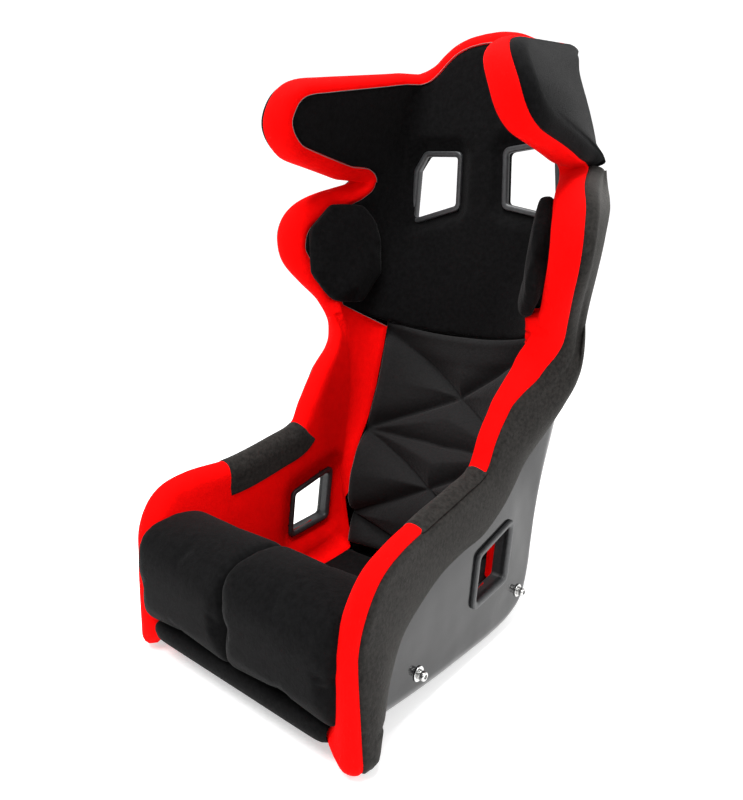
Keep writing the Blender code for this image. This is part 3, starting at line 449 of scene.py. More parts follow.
def grid_mesh(grid, name, flip=False, closed=False):
    """A surface through a grid of points. closed joins the last column to the first."""
    rows, columns = grid.shape[:2]
    faces = []
    last = columns if closed else columns - 1
    for i in range(rows - 1):
        for j in range(last):
            k = (j + 1) % columns
            face = (i * columns + j, i * columns + k, (i + 1) * columns + k, (i + 1) * columns + j)
            faces.append(face[::-1] if flip else face)
    return mesh_from(grid.reshape(-1, 3), faces, name)


def grid_normals(grid, towards):
    """Unit normals of the grid, on the side that the towards vectors are on."""
    normal = np.cross(np.gradient(grid, axis=0), np.gradient(grid, axis=1))
    size = np.linalg.norm(normal, axis=2, keepdims=True)
    normal = normal / np.maximum(size, 1e-12)
    return normal * np.where(np.sum(normal * towards, axis=2, keepdims=True) < 0, -1.0, 1.0)


def mirrored(mesh):
    work = bmesh.new()
    work.from_mesh(mesh)
    bmesh.ops.scale(work, vec=(-1, 1, 1), verts=work.verts)
    bmesh.ops.reverse_faces(work, faces=work.faces)
    made = bpy.data.meshes.new(mesh.name + "_mirrored")
    work.to_mesh(made)
    work.free()
    return made


def face_out(mesh):
    work = bmesh.new()
    work.from_mesh(mesh)
    bmesh.ops.recalc_face_normals(work, faces=work.faces)
    work.to_mesh(mesh)
    work.free()


def piece(name, mesh, slot, nodes=(), body="seat", sharp=None):
    """A visible piece that rides on its body and stands for these CAD nodes."""
    obj = bpy.data.objects.new(name, mesh)
    bpy.context.scene.collection.objects.link(obj)
    mesh.materials.append(MATERIALS[slot])
    mesh.shade_smooth()
    if sharp:
        mesh.set_sharp_from_angle(angle=math.radians(sharp))
    for node in nodes:
        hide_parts(node)
    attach(obj, body)
    return obj


def both_sides(name, mesh, slot, nodes=(), body="seat", sharp=None):
    """The piece on the seat's left, which is +X, and its mirror image on the right."""
    made = []
    for side, shape in (("left", mesh), ("right", mirrored(mesh))):
        rides_on = body if body == "seat" else f"{body}_{side}"
        names = [f"{node}_{side}" for node in nodes]
        made.append(piece(f"{name}_{side}", shape, slot, names, rides_on, sharp))
    return made


def tube(name, paths, radius, slot, body="seat", sides=6):
    """Round thin tubes along the paths, as one piece."""
    vertices, faces = [], []
    for path in paths:
        path = np.array(path)
        along = np.gradient(path, axis=0)
        along /= np.linalg.norm(along, axis=1)[:, None]
        start = len(vertices)
        side = np.array([0.3, 0.2, 0.93])
        for point, direction in zip(path, along):
            side = unit(side - direction * np.dot(side, direction))
            other = np.cross(direction, side)
            for k in range(sides):
                angle = 2 * math.pi * k / sides
                vertices.append(point + radius * (math.cos(angle) * side + math.sin(angle) * other))
        for i in range(len(path) - 1):
            for k in range(sides):
                a, b = start + i * sides + k, start + i * sides + (k + 1) % sides
                faces.append((a, b, b + sides, a + sides))
    mesh = mesh_from(vertices, faces, name)
    face_out(mesh)
    return piece(name, mesh, slot, body=body)


# ---------------------------------------------------------------- materials
def material(name):
    made = bpy.data.materials.new(name)
    made.use_nodes = True
    return made, made.node_tree, made.node_tree.nodes["Principled BSDF"]


def noise(tree, scale, detail=3.0, roughness=0.55, stretch=(1, 1, 1)):
    """Fractal noise over the object's own metres."""
    place = tree.nodes.new("ShaderNodeTexCoord")
    mapping = tree.nodes.new("ShaderNodeMapping")
    mapping.inputs["Scale"].default_value = stretch
    made = tree.nodes.new("ShaderNodeTexNoise")
    made.inputs["Scale"].default_value = scale
    made.inputs["Detail"].default_value = detail
    made.inputs["Roughness"].default_value = roughness
    tree.links.new(place.outputs["Object"], mapping.inputs["Vector"])
    tree.links.new(mapping.outputs["Vector"], made.inputs["Vector"])
    return made.outputs["Fac"]


def cells(tree, scale):
    place = tree.nodes.new("ShaderNodeTexCoord")
    made = tree.nodes.new("ShaderNodeTexVoronoi")
    made.inputs["Scale"].default_value = scale
    tree.links.new(place.outputs["Object"], made.inputs["Vector"])
    return made.outputs["Distance"]


def ramp(tree, value, low, high, dark, light):
    """A colour between dark and light as the value goes from low to high."""
    made = tree.nodes.new("ShaderNodeValToRGB")
    made.color_ramp.elements[0].position = low
    made.color_ramp.elements[0].color = (*dark, 1)
    made.color_ramp.elements[1].position = high
    made.color_ramp.elements[1].color = (*light, 1)
    tree.links.new(value, made.inputs["Fac"])
    return made.outputs["Color"]


def bump(tree, shader, heights):
    """Bumps one over the other, each as (value, strength, distance)."""
    below = None
    for value, strength, distance in heights:
        made = tree.nodes.new("ShaderNodeBump")
        made.inputs["Strength"].default_value = strength
        made.inputs["Distance"].default_value = distance
        tree.links.new(value, made.inputs["Height"])
        if below:
            tree.links.new(below, made.inputs["Normal"])
        below = made.outputs["Normal"]
    tree.links.new(below, shader.inputs["Normal"])


def fabric(name, dark, light, mottle, grain, rough=0.9, sheen=0.3, sheen_tint=(1, 1, 1), low=0.35, high=0.65,
           depth=0.0006, gleam=0.12):
    """Cloth: a mottled colour, sheen, and a fine grain."""
    made, tree, shader = material(name)
    colour = ramp(tree, noise(tree, mottle, 5.0, 0.65), low, high, dark, light)
    tree.links.new(colour, shader.inputs["Base Color"])
    shader.inputs["Roughness"].default_value = rough
    shader.inputs["Specular IOR Level"].default_value = gleam
    shader.inputs["Sheen Weight"].default_value = sheen
    shader.inputs["Sheen Roughness"].default_value = 0.4
    shader.inputs["Sheen Tint"].default_value = (*sheen_tint, 1)
    bump(tree, shader, [(cells(tree, grain), 0.35, depth), (noise(tree, grain / 6, 3.0), 0.25, 3 * depth)])
    return made


def gloss(name):
    """Black gel coat with a faint orange peel."""
    made, tree, shader = material(name)
    colour = ramp(tree, noise(tree, 900, 2.0), 0.4, 0.7, (0.0018, 0.0018, 0.0020), (0.0040, 0.0040, 0.0045))
    tree.links.new(colour, shader.inputs["Base Color"])
    shader.inputs["Roughness"].default_value = 0.20
    shader.inputs["Specular IOR Level"].default_value = 0.10
    shader.inputs["Coat Weight"].default_value = 0.42
    shader.inputs["Coat Roughness"].default_value = 0.04
    bump(tree, shader, [(noise(tree, 9, 2.0), 0.35, 0.010), (noise(tree, 160, 2.0), 0.05, 0.001)])
    return made


def plastic(name):
    made, tree, shader = material(name)
    colour = ramp(tree, noise(tree, 240, 4.0), 0.35, 0.7, (0.016, 0.017, 0.018), (0.030, 0.031, 0.033))
    tree.links.new(colour, shader.inputs["Base Color"])
    shader.inputs["Roughness"].default_value = 0.42
    bump(tree, shader, [(noise(tree, 2200, 2.0), 0.2, 0.0003)])
    return made


def metal(name, dark, light, rough):
    made, tree, shader = material(name)
    colour = ramp(tree, noise(tree, 700, 4.0), 0.35, 0.65, dark, light)
    tree.links.new(colour, shader.inputs["Base Color"])
    shader.inputs["Metallic"].default_value = 1.0
    shader.inputs["Roughness"].default_value = rough
    bump(tree, shader, [(noise(tree, 1800, 3.0), 0.15, 0.0002)])
    return made


MATERIALS = {
    "shell_gloss": gloss("shell_gloss_fine"),
    "red_knit": fabric("red_knit_fine", (0.74, 0.0006, 0.0005), (0.82, 0.0010, 0.0008), 60, 1500, 0.9, 0.02,
                       (1, 0.05, 0.03), gleam=0.05),
    "black_velour": fabric("black_velour_fine", (0.0010, 0.0010, 0.0011), (0.0032, 0.0032, 0.0034), 130, 1400,
                           0.95, 0.035, gleam=0.08),
    "black_mesh": fabric("black_mesh_fine", (0.0016, 0.0016, 0.0017), (0.0060, 0.0060, 0.0063), 260, 900, 0.8,
                         0.10, depth=0.0012, gleam=0.2),
    "grey_suede": fabric("grey_suede_fine", (0.006, 0.0055, 0.0050), (0.018, 0.0165, 0.0150), 170, 1100,
                         0.92, 0.10, (1, 0.98, 0.94)),
    "bezel_plastic": plastic("bezel_plastic_fine"),
    "zinc_steel": metal("zinc_steel_fine", (0.50, 0.50, 0.49), (0.74, 0.74, 0.73), 0.24),
    "insert_steel": metal("insert_steel_fine", (0.32, 0.31, 0.29), (0.46, 0.45, 0.43), 0.38),
}
# light grey for the seam tubes: a thread colour that also paints the highlight along the red and black seams
MATERIALS["thread_and_highlight"] = fabric("thread_and_highlight_fine", (0.10, 0.095, 0.09), (0.18, 0.17, 0.165), 900, 4000, 0.8, 0.1)


# ---------------------------------------------------------------- shell
def outline_path(outline, radius, steps=8):
    """The outline with its corners rounded."""
    points = [Vector(p) for p in outline]
    out = []
    for before, corner, after in zip(points[-1:] + points[:-1], points, points[1:] + points[:1]):
        into, away = (before - corner).normalized(), (after - corner).normalized()
        half = into.angle(away) / 2
        reach = min(radius / math.tan(half), 0.45 * (before - corner).length, 0.45 * (after - corner).length)
        for k in range(steps + 1):
            f = k / steps
            out.append(tuple((1 - f)**2 * (corner + into * reach) + 2 * f * (1 - f) * corner
                             + f**2 * (corner + away * reach)))
    return out


def grown(outline, distance):
    """The convex outline with each side moved out by this distance."""
    points = [Vector(p) for p in outline]
    middle = sum(points, Vector((0, 0))) / len(points)
    lines = []
    for a, b in zip(points, points[1:] + points[:1]):
        normal = Vector((b.y - a.y, a.x - b.x)).normalized()
        if normal.dot(a - middle) < 0:
            normal = -normal
        lines.append((a + normal * distance, (b - a).normalized()))
    out = []
    for (p, d), (q, e) in zip(lines[-1:] + lines[:-1], lines):
        cross = d.x * e.y - d.y * e.x
        share = ((q.x - p.x) * e.y - (q.y - p.y) * e.x) / cross
        out.append(tuple(p + d * share))
    return out


def at_depth(p, axis, depth):
    return {"X": (depth, p[0], p[1]), "Y": (p[0], depth, p[1]), "Z": (p[0], p[1], depth)}[axis]


def prism(outline, axis, low, high, name):
    count = len(outline)
    vertices = [at_depth(p, axis, low) for p in outline] + [at_depth(p, axis, high) for p in outline]
    faces = [tuple(range(count)), tuple(range(count, 2 * count))]
    faces += [(i, (i + 1) % count, count + (i + 1) % count, count + i) for i in range(count)]
    mesh = mesh_from(vertices, faces, name)
    face_out(mesh)
    return mesh


def cut(obj, meshes):
    """Cuts these solids out of the object, and bakes the result into its mesh."""
    cutters = []
    for mesh in meshes:
        cutter = bpy.data.objects.new(mesh.name, mesh)
        bpy.context.scene.collection.objects.link(cutter)
        step = obj.modifiers.new(mesh.name, "BOOLEAN")
        step.operation = "DIFFERENCE"
        step.solver = "EXACT"
        step.object = cutter
        cutters.append(cutter)
    bake(obj)
    for cutter in cutters:
        bpy.data.objects.remove(cutter, do_unlink=True)


def bake(obj):
    """Applies the object's modifiers."""
    bpy.context.view_layer.update()
    graph = bpy.context.evaluated_depsgraph_get()
    made = bpy.data.meshes.new_from_object(obj.evaluated_get(graph))
    obj.modifiers.clear()
    obj.data = made


def circle(radius, count, centre=(0.0, 0.0)):
    return [(centre[0] + radius * math.cos(2 * math.pi * k / count),
             centre[1] + radius * math.sin(2 * math.pi * k / count)) for k in range(count)]


@functools.lru_cache(maxsize=None)
def border_line():
    """The shell's edge as section places over rising stations."""
    found = np.array([edge_place(i, 0.0) for i in range(len(EDGE))])
    t = np.maximum.accumulate(found[:, 0])
    keep = np.append(np.diff(t) > 1e-9, True)
    return t[keep], found[keep, 1]


def make_shell():
    line_t, line_c = border_line()
    last = float(line_t[np.argmax(line_c < 0.2)])
    near_top = line_t[line_t > 22.4][::4]
    marks = sorted(set(list(np.arange(0, last, 0.14)) + [float(v) for v in near_top]))
    rows = [t for t in marks if t < last - 0.01] + [last]
    grid = []
    for t in rows:
        edge = float(np.interp(t, line_t, line_c))
        places = np.linspace(-1, 1, 97) * edge
        grid.append([spot(max(t, 1e-6), float(c)) for c in places])
    mesh = grid_mesh(np.array(grid), "shell_look")
    shell = piece("shell_look", mesh, "shell_gloss", ["shell"])
    solid = shell.modifiers.new("laminate", "SOLIDIFY")
    solid.thickness = SHELL_T
    solid.offset = 0.0
    cutters = []
    for sign in (1, -1):
        shoulder = [(sign * x, z) for x, z in SHOULDER_SLOT]
        hole = outline_path(grown(shoulder, 0.0090), SLOT_CORNER)
        cutters.append(prism(hole, "Y", 0.24, 0.40, "shoulder_hole"))
        hole = outline_path(grown(LAP_SLOT, 0.0036), SLOT_CORNER)
        cutters.append(prism(hole, "X", *sorted((sign * 0.15, sign * 0.25)), "lap_hole"))
        ends = sorted((sign * 0.17, sign * 0.24))
        for y in BOLT_Y:
            cutters.append(prism(circle(0.0045, 24, (y, MOUNT_Z)), "X", *ends, "bolt_hole"))
    cutters.append(prism(outline_path(grown(CROTCH_SLOT, 0.0036), 0.008), "Z", -0.05, 0.10, "crotch_hole"))
    cut(shell, cutters)
    shell.data.shade_smooth()
    shell.data.set_sharp_from_angle(angle=math.radians(40))


# ---------------------------------------------------------------- red sides and rims
def roll_down(grid, normals, distances, dip=SEAM_DIP, width=SEAM_W):
    """Bends the surface down where it comes near a seam."""
    depth = dip * np.clip(1 - distances / width, 0, 1)**2
    return grid - normals * depth[..., None]


def seam_depth(z):
    return float(np.interp(z, *np.array(QUILT_SIDE).T))


def junction():
    """The edge point where the black upper back's lower edge meets the rim."""
    for i in range(ELBOW[-1], NOTCH):
        if edge_place(i, nose_size(i)[3])[0] >= BACK_FROM:
            return i
    return NOTCH


JUNCTION = junction()


def inner_end(i):
    """(t, c) where the red side ends, at edge point i up to the junction."""
    start_t = edge_place(FRONT_CORNER, 0.014)[0]
    if i <= FRONT_CORNER:
        return 0.8 + 0.6 * i / FRONT_CORNER, 1.3
    share = (edge_place(i, 0.014)[0] - start_t) / (BACK_FROM - start_t)
    t = 1.4 + (BACK_FROM - 0.02 - 1.4) * min(1.0, share)
    low = 1.15
    if t < 4.5:
        return t, low
    return t, low + (place_at(t, SEAM_X) - low) * float(smoothstep((t - 4.5) / 1.2))


def seam_tuck(i, profile):
    """Pulls the section's first point in to the stitching, and gives two points that turn in under it."""
    core = EDGE[i] + (EDGE_PAD[i] + EDGE_NORMAL[i] * nose_size(i)[1]) / 2
    inwards = unit(core - profile[0])
    profile[0] = profile[0] + inwards * SEAM_DIP
    profile[1] = profile[1] + inwards * SEAM_DIP * 0.35
    return [profile[0] + inwards * 0.012, profile[0] + inwards * 0.004]


def red_rows(first, last):
    """Rows of the red cover: the roll round the edge, then the surface in to the seam."""
    rows, picks = [], edge_picks(first, last)
    columns = 34
    total = lengths_of(EDGE)
    for i in picks:
        roll = nose_size(i)[2]
        profile = nose_profile(i)[::-1]
        row = seam_tuck(i, profile) + profile
        start = np.array(edge_place(i, roll))
        if i <= JUNCTION:
            end = np.array(inner_end(i))
            wanted = None
            if end[0] > 5.0:
                here = spot(*end, 1.0)
                z = here[2]
                wanted = np.array([SEAM_X, seam_depth(z), z])
            for k in range(1, columns):
                f = k / (columns - 1)
                place = spot(*(start + (end - start) * f), 1.0)
                if wanted is not None:
                    place = place + (wanted - here) * f**2
                row.append(place)
        else:
            for k in range(1, columns):
                setback = roll + (nose_size(i)[3] - roll) * k / (columns - 1)
                row.append(inner_point(i, setback))
        row = np.array(row)
        foot = total[i] - total[0]
        if foot < 0.022:
            shrink = math.sqrt(max(1e-4, 1 - (1 - foot / 0.022)**2))
            centre = EDGE[i] + (EDGE_PAD[i] + EDGE_NORMAL[i] * nose_size(i)[1]) / 2
            row = centre + (row - centre) * max(shrink, 0.15)
        rows.append(row)
    grid = np.array(rows)
    towards = np.stack([np.repeat((EDGE_PAD[i])[None], grid.shape[1], axis=0) for i in picks])
    normals = grid_normals(grid, towards)
    steps = np.linalg.norm(np.diff(grid, axis=1), axis=2)
    distance = np.concatenate([np.cumsum(steps[:, ::-1], axis=1)[:, ::-1], np.zeros((len(picks), 1))], axis=1)
    distance[:, :18] = 1.0
    return roll_down(grid, normals, distance), picks


def outline_distance(points, outline):
    """Distance from each point to the closed outline."""
    nearest = np.full(len(points), 1.0)
    for a, b in zip(outline, np.roll(outline, -1, axis=0)):
        along = np.clip((points - a) @ (b - a) / ((b - a) @ (b - a)), 0, 1)
        nearest = np.minimum(nearest, np.linalg.norm(points - a - along[:, None] * (b - a), axis=1))
    return nearest


def dished(mesh):
    """Presses the side cover down round the lap slot, on to the shell."""
    hole = np.array(LAP_SLOT)
    places = np.array([v.co[:] for v in mesh.vertices])
    near = outline_distance(places[:, 1:], hole)
    near[inside_outline(places[:, 1:], hole)] = 0.0
    push = LAP_DISH * (1 - smoothstep((near - BEZEL_RIM) / LAP_DISH_W))
    push *= smoothstep((places[:, 0] - 0.145) / 0.02) * smoothstep((0.2 - places[:, 0]) / 0.012)
    places[:, 0] += push
    mesh.vertices.foreach_set("co", places.astype(np.float32).ravel())
    mesh.update()


def open_lap_slot(mesh):
    """Takes out the cloth behind the lap bezel, whose flange covers the cut."""
    hole = np.array(grown(LAP_SLOT, 0.007))
    work = bmesh.new()
    work.from_mesh(mesh)
    faces = [f for f in work.faces if f.calc_center_median().x > 0.12]
    centres = np.array([f.calc_center_median()[1:] for f in faces])
    inside = inside_outline(centres, hole)
    bmesh.ops.delete(work, geom=[f for f, gone in zip(faces, inside) if gone], context="FACES")
    work.to_mesh(mesh)
    work.free()


def make_red_sides():
    grid, picks = red_rows(0, NOTCH)
    mesh = grid_mesh(grid, "red_side")
    dished(mesh)
    open_lap_slot(mesh)
    face_out(mesh)
    both_sides("red_side", mesh, "red_knit", ["thigh_rim", "side_cover", "body_rim"])
    return [(grid[k, -1] + grid[k, -2]) / 2 for k, i in enumerate(picks) if i >= JUNCTION - 2]


def make_head_rim():
    picks = edge_picks(NOTCH, len(EDGE) - 1)
    rows = []
    for i in picks:
        roll, seam = nose_size(i)[2:]
        profile = nose_profile(i)[::-1]
        inside = [inner_point(i, roll + (seam - roll) * k / 3) for k in (1, 2, 3)]
        under = inner_point(i, seam + 0.002) + EDGE_NORMAL[i] * 0.004
        rows.append(seam_tuck(i, profile) + profile + inside + [under])
    near = np.array(rows)
    near[-1, :, 0] = 0.0
    far = near[:-1][::-1] * np.array([-1.0, 1.0, 1.0])
    grid = np.concatenate([near, far])
    mesh = grid_mesh(grid, "head_rim_look")
    face_out(mesh)
    piece("head_rim_look", mesh, "red_knit", ["head_rim"])
    return [row[-2] for row in grid]


def make_elbow_patches():
    """Wear patches sewn over the crest of the hip bolsters."""
    picks = edge_picks(ELBOW[0] - 1, ELBOW[-1] + 1, longest=0.005)
    rows = []
    for i in picks:
        profile = nose_profile(i, raised=PATCH_RISE)[::-1]
        roll = nose_size(i)[2]
        inside = []
        for j in range(1, 13):
            setback = roll + (PATCH_W - roll) * j / 12
            t, c = edge_place(i, setback)
            inside.append(spot(t, c, 1.0) + inward(t, c, 1.0) * PATCH_RISE)
        rows.append(profile + inside)
    grid = np.array(rows)
    towards = np.stack([np.repeat(EDGE_PAD[i][None], grid.shape[1], axis=0) for i in picks])
    normals = grid_normals(grid, towards)
    normals[:, :15] = 0
    centre = np.array([EDGE[i] + (EDGE_PAD[i] + EDGE_NORMAL[i] * 0.011) / 2 for i in picks])[:, None, :]
    outward = grid - centre
    outward /= np.linalg.norm(outward, axis=2, keepdims=True)
    steps = lengths_of(EDGE[picks])
    end = np.minimum(steps, steps[-1] - steps)[:, None] * np.ones(grid.shape[1])
    across = np.linalg.norm(np.diff(grid, axis=1), axis=2)
    rim = np.concatenate([np.cumsum(across[:, ::-1], axis=1)[:, ::-1], np.zeros((len(picks), 1))], axis=1)
    grid = roll_down(grid, outward, np.minimum(end, rim), dip=0.0026, width=0.005)
    mesh = grid_mesh(grid, "elbow_patch_look")
    face_out(mesh)
    both_sides("elbow_patch_look", mesh, "grey_suede", ["elbow_patch"])
    return [grid[0, 8:], grid[-1, 8:], grid[:, -2]]


# ---------------------------------------------------------------- outer bands
def band_grid(picks, far_edge, lower_roll=0.010):
    """Rows of an outer band: down the padded edge's flank, then over the shell to the band's lower edge."""
    lengths = lengths_of(EDGE[picks])
    far = resample(smooth_path(far_edge), lengths / lengths[-1])
    shares = np.concatenate([np.linspace(0, 0.9, 14)[1:-1], np.linspace(0.9, 1, 7)])
    rows = []
    for k, i in enumerate(picks):
        outer = nose_size(i)[1]
        belly_marks = [ELBOW[-1], ELBOW[-1] + 110, NOTCH - 50, NOTCH, NOTCH + 60]
        belly = float(np.interp(i, belly_marks, [0.002, 0.013, 0.013, 0.004, 0.004]))
        to_top = float(lengths[-1] - lengths[k]) if picks[-1] > NOTCH else 1.0
        core = EDGE[i] + (EDGE_PAD[i] + EDGE_NORMAL[i] * outer) / 2
        flank = nose_flank(i)
        inwards = unit(core - flank[0])
        flank[0] = flank[0] + inwards * SEAM_DIP
        flank[1] = flank[1] + inwards * SEAM_DIP * 0.2
        near = (EDGE[i] - EDGE_OUT[i] * SEAM_SETBACK)[1:]
        width = float(np.linalg.norm(far[k] - near))
        row = [flank[0] + inwards * 0.010] + flank
        for f in shares:
            y, z = near * (1 - f) + far[k] * f
            thick = outer * (1 - f**2) + BAND_FOOT_T * f**2 + belly * math.sin(math.pi * f)
            rest = (1 - f) * width / lower_roll
            thick = 0.0015 + (thick - 0.0015) * math.sqrt(max(0.0, 1 - max(0.0, 1 - rest)**2))
            thick *= 1 - 0.75 * float(f * (1 - smoothstep(to_top / 0.04)))
            row.append(wall_point(y, z, -max(thick, 0.001)))
        foot = float(lengths[k])
        row = np.array(row)
        if i < FRONT_CORNER and foot < 0.020:
            shrink = math.sqrt(max(1e-4, 1 - (1 - foot / 0.020)**2))
            row = core + (row - core) * max(shrink, 0.25)
        rows.append(row)
    return np.array(rows)


def make_bands():
    picks = edge_picks(0, NOTCH - 4, longest=0.008)
    mesh = grid_mesh(band_grid(picks, BAND_EDGE_BODY), "outer_band_look")
    face_out(mesh)
    both_sides("outer_band_look", mesh, "grey_suede", ["outer_band"])
    picks = edge_picks(NOTCH + 4, SIDE_COUNT - 1, longest=0.008)
    mesh = grid_mesh(band_grid(picks, BAND_EDGE_HEAD), "head_cover_look")
    face_out(mesh)
    both_sides("head_cover_look", mesh, "black_velour", ["head_side_cover"])


# ---------------------------------------------------------------- upper back
def inside_outline(points, outline):
    """Whether each point lies inside the closed outline."""
    x, y = points[:, 0][:, None], points[:, 1][:, None]
    a, b = outline, np.roll(outline, -1, axis=0)
    crosses = (a[:, 1] > y) != (b[:, 1] > y)
    slope = (b[:, 0] - a[:, 0]) / np.where(b[:, 1] == a[:, 1], 1e-12, b[:, 1] - a[:, 1])
    return (np.sum(crosses & (x < slope * (y - a[:, 1]) + a[:, 0]), axis=1) % 2).astype(bool)


def make_upper_back():
    picks = edge_picks(JUNCTION, len(EDGE) - 1)
    border = np.array([edge_place(i, nose_size(i)[3] + 0.0005) for i in picks])
    border[:, 0] = np.maximum(border[:, 0], BACK_FROM)
    half = border[border[:, 1] > 1e-3]
    outline = [(c, t) for t, c in half] + [(-c, t) for t, c in half[::-1]]
    low = half[0, 1]
    outline += [(c, BACK_FROM) for c in np.linspace(-low, low, 70)[1:-1]]
    outline = np.array(outline)
    slots = []
    for sign in (1, -1):
        ring = outline_path(grown(SHOULDER_SLOT, 0.003), SLOT_CORNER)
        places = [locate_front(x, z, 1.0) for x, z in ring]
        slots.append(np.array([(sign * c, t) for t, c in places]))
    cs, ts = np.meshgrid(np.arange(-2.98, 2.99, 0.045), np.arange(BACK_FROM + 0.06, TOP, 0.11))
    inner = np.stack([cs.ravel(), ts.ravel()], axis=1)
    inner = inner[inside_outline(inner, outline)]
    for ring in slots:
        inner = inner[~inside_outline(inner, ring)]
    scale = np.array([0.14, 0.05])
    fixed = np.concatenate([outline] + slots)
    gaps = np.min(np.linalg.norm(inner[:, None] * scale - fixed[None] * scale, axis=2), axis=1)
    inner = inner[gaps > 0.0032]
    points = np.concatenate([fixed, inner])
    edges, start = [], 0
    for ring in [outline] + slots:
        edges += [(start + k, start + (k + 1) % len(ring)) for k in range(len(ring))]
        start += len(ring)
    made = delaunay_2d_cdt([Vector(p * scale) for p in points], edges, [], 0, 1e-7)
    flat = np.array([tuple(v) for v in made[0]]) / scale
    faces = [tuple(face) for face in made[2]]
    centres = np.array([flat[list(face)].mean(axis=0) for face in faces])
    keep = inside_outline(centres, outline)
    for ring in slots:
        keep &= ~inside_outline(centres, ring)
    faces = [face for face, wanted in zip(faces, keep) if wanted]
    places = np.array([spot(t, c, 1.0) for c, t in flat])
    normals = np.array([inward(t, c if abs(c) > 0.011 else 0.011, 1.0) for c, t in flat])
    rim = np.array([spot(t, c, 1.0) for c, t in outline])
    distance = np.array([np.min(np.linalg.norm(rim - p, axis=1)) for p in places])
    places = roll_down(places, normals, distance)
    for sign in (1, -1):
        hole = np.array([(sign * x, z) for x, z in SHOULDER_SLOT])
        flat = places[:, [0, 2]]
        near = outline_distance(flat, hole)
        near[inside_outline(flat, hole)] = 0.0
        push = BACK_DISH * (1 - smoothstep((near - BEZEL_RIM) / BACK_DISH_W))
        places[:, 1] += push * smoothstep((BACK_HALF - np.abs(flat[:, 0])) / BACK_FADE)
    mesh = mesh_from(places, faces, "upper_back_look")
    work = bmesh.new()
    work.from_mesh(mesh)
    bmesh.ops.delete(work, geom=[v for v in work.verts if not v.link_faces], context="VERTS")
    bmesh.ops.recalc_face_normals(work, faces=work.faces)
    normal_at = {v: v.normal.copy() for v in work.verts}
    rims = [e for e in work.edges if e.is_boundary]
    made = bmesh.ops.extrude_edge_only(work, edges=rims)
    lower = {v for v in made["geom"] if isinstance(v, bmesh.types.BMVert)}
    middle = Vector((0, -0.2, 0.7))
    for vert in lower:
        near = min((e.other_vert(vert) for e in vert.link_edges if e.other_vert(vert) not in lower),
                   key=lambda v: (v.co - vert.co).length)
        normal = normal_at.get(near, Vector((0, -1, 0)))
        sign = 1 if normal.dot(middle - vert.co) > 0 else -1
        vert.co -= normal * sign * 0.012
    work.to_mesh(mesh)
    work.free()
    piece("upper_back_look", mesh, "black_velour", ["upper_back_cover"])


# ---------------------------------------------------------------- quilted cushion
def groove_distance(x, z):
    """Distance from each point of the cushion's front view to the nearest stitched groove."""
    nearest = np.full(x.shape, 1.0)
    for line in GROOVES:
        for flip in (1, -1):
            path = np.array(line) * np.array([flip, 1.0])
            for (ax, az), (bx, bz) in zip(path[:-1], path[1:]):
                length = math.hypot(bx - ax, bz - az)
                along = ((x - ax) * (bx - ax) + (z - az) * (bz - az)) / length**2
                along = np.clip(along, 0, 1)
                away = np.hypot(x - ax - along * (bx - ax), z - az - along * (bz - az))
                nearest = np.minimum(nearest, away)
    return nearest


def make_quilt():
    columns, rows = 111, 150
    xs = np.linspace(-1, 1, columns) * (SEAM_X - 0.0005)
    top = []
    row = station(BACK_FROM)
    flat = row[2] - row[9] - row[10]
    for x in np.abs(xs):
        c = place_at(BACK_FROM, x) if x > flat else x / 0.03
        top.append(spot(BACK_FROM - 0.02, c, 1.0))
    top = np.array(top)
    grid = np.zeros((rows, columns, 3))
    for r in range(rows):
        f = r / (rows - 1)
        z = top[:, 2] + (QUILT_FOOT - top[:, 2]) * f
        middle = np.interp(z, *np.array(QUILT_MIDDLE).T)
        side = np.interp(z, *np.array(QUILT_SIDE).T)
        y = side + (middle - side) * (1 - (np.abs(xs) / SEAM_X)**2.2)
        near_top = 1 - smoothstep((top[:, 2] - z) / 0.05)
        grid[r] = np.stack([xs, y + (top[:, 1] - y) * near_top, z], axis=1)
    grid[..., 1] = smoothed(grid[..., 1], 5)
    grid[0] = np.stack([xs, top[:, 1], top[:, 2]], axis=1)
    towards = np.broadcast_to(np.array([0.0, -1.0, 0.4]), grid.shape)
    normals = grid_normals(grid, towards)
    x, z = grid[..., 0], grid[..., 2]
    groove = groove_distance(x, z)
    border = np.minimum(SEAM_X - np.abs(x), np.minimum(grid[0, :, 2][None] - z, z - QUILT_FOOT))
    puff = 0.029 * (1 - np.exp(-groove / 0.018)) - 0.0155
    puff -= 0.006 * np.clip(1 - border / 0.012, 0, 1)**2
    grid = grid + normals * puff[..., None]
    top_turn, foot_turn, side_turn = np.array([(0, 0.02, -0.006), (0, 0.03, 0), (0, 0.012, 0)])
    full = np.concatenate([[grid[0] + top_turn], grid, [grid[-1] + foot_turn]])
    full = np.concatenate([full[:, :1] + side_turn, full, full[:, -1:] + side_turn], axis=1)
    mesh = grid_mesh(full, "quilt_look")
    face_out(mesh)
    piece("quilt_look", mesh, "black_mesh", ["lumbar_cushion"], body="lumbar_cushion")


# ---------------------------------------------------------------- stuffed cushions
def remeshed(name, mesh, size):
    """An even closed skin over the shape."""
    obj = bpy.data.objects.new(name, mesh)
    bpy.context.scene.collection.objects.link(obj)
    skin = obj.modifiers.new("skin", "REMESH")
    skin.mode = "VOXEL"
    skin.voxel_size = size
    even = obj.modifiers.new("even", "SMOOTH")
    even.factor = 0.5
    even.iterations = 8
    bake(obj)
    made = obj.data
    bpy.data.objects.remove(obj, do_unlink=True)
    return made


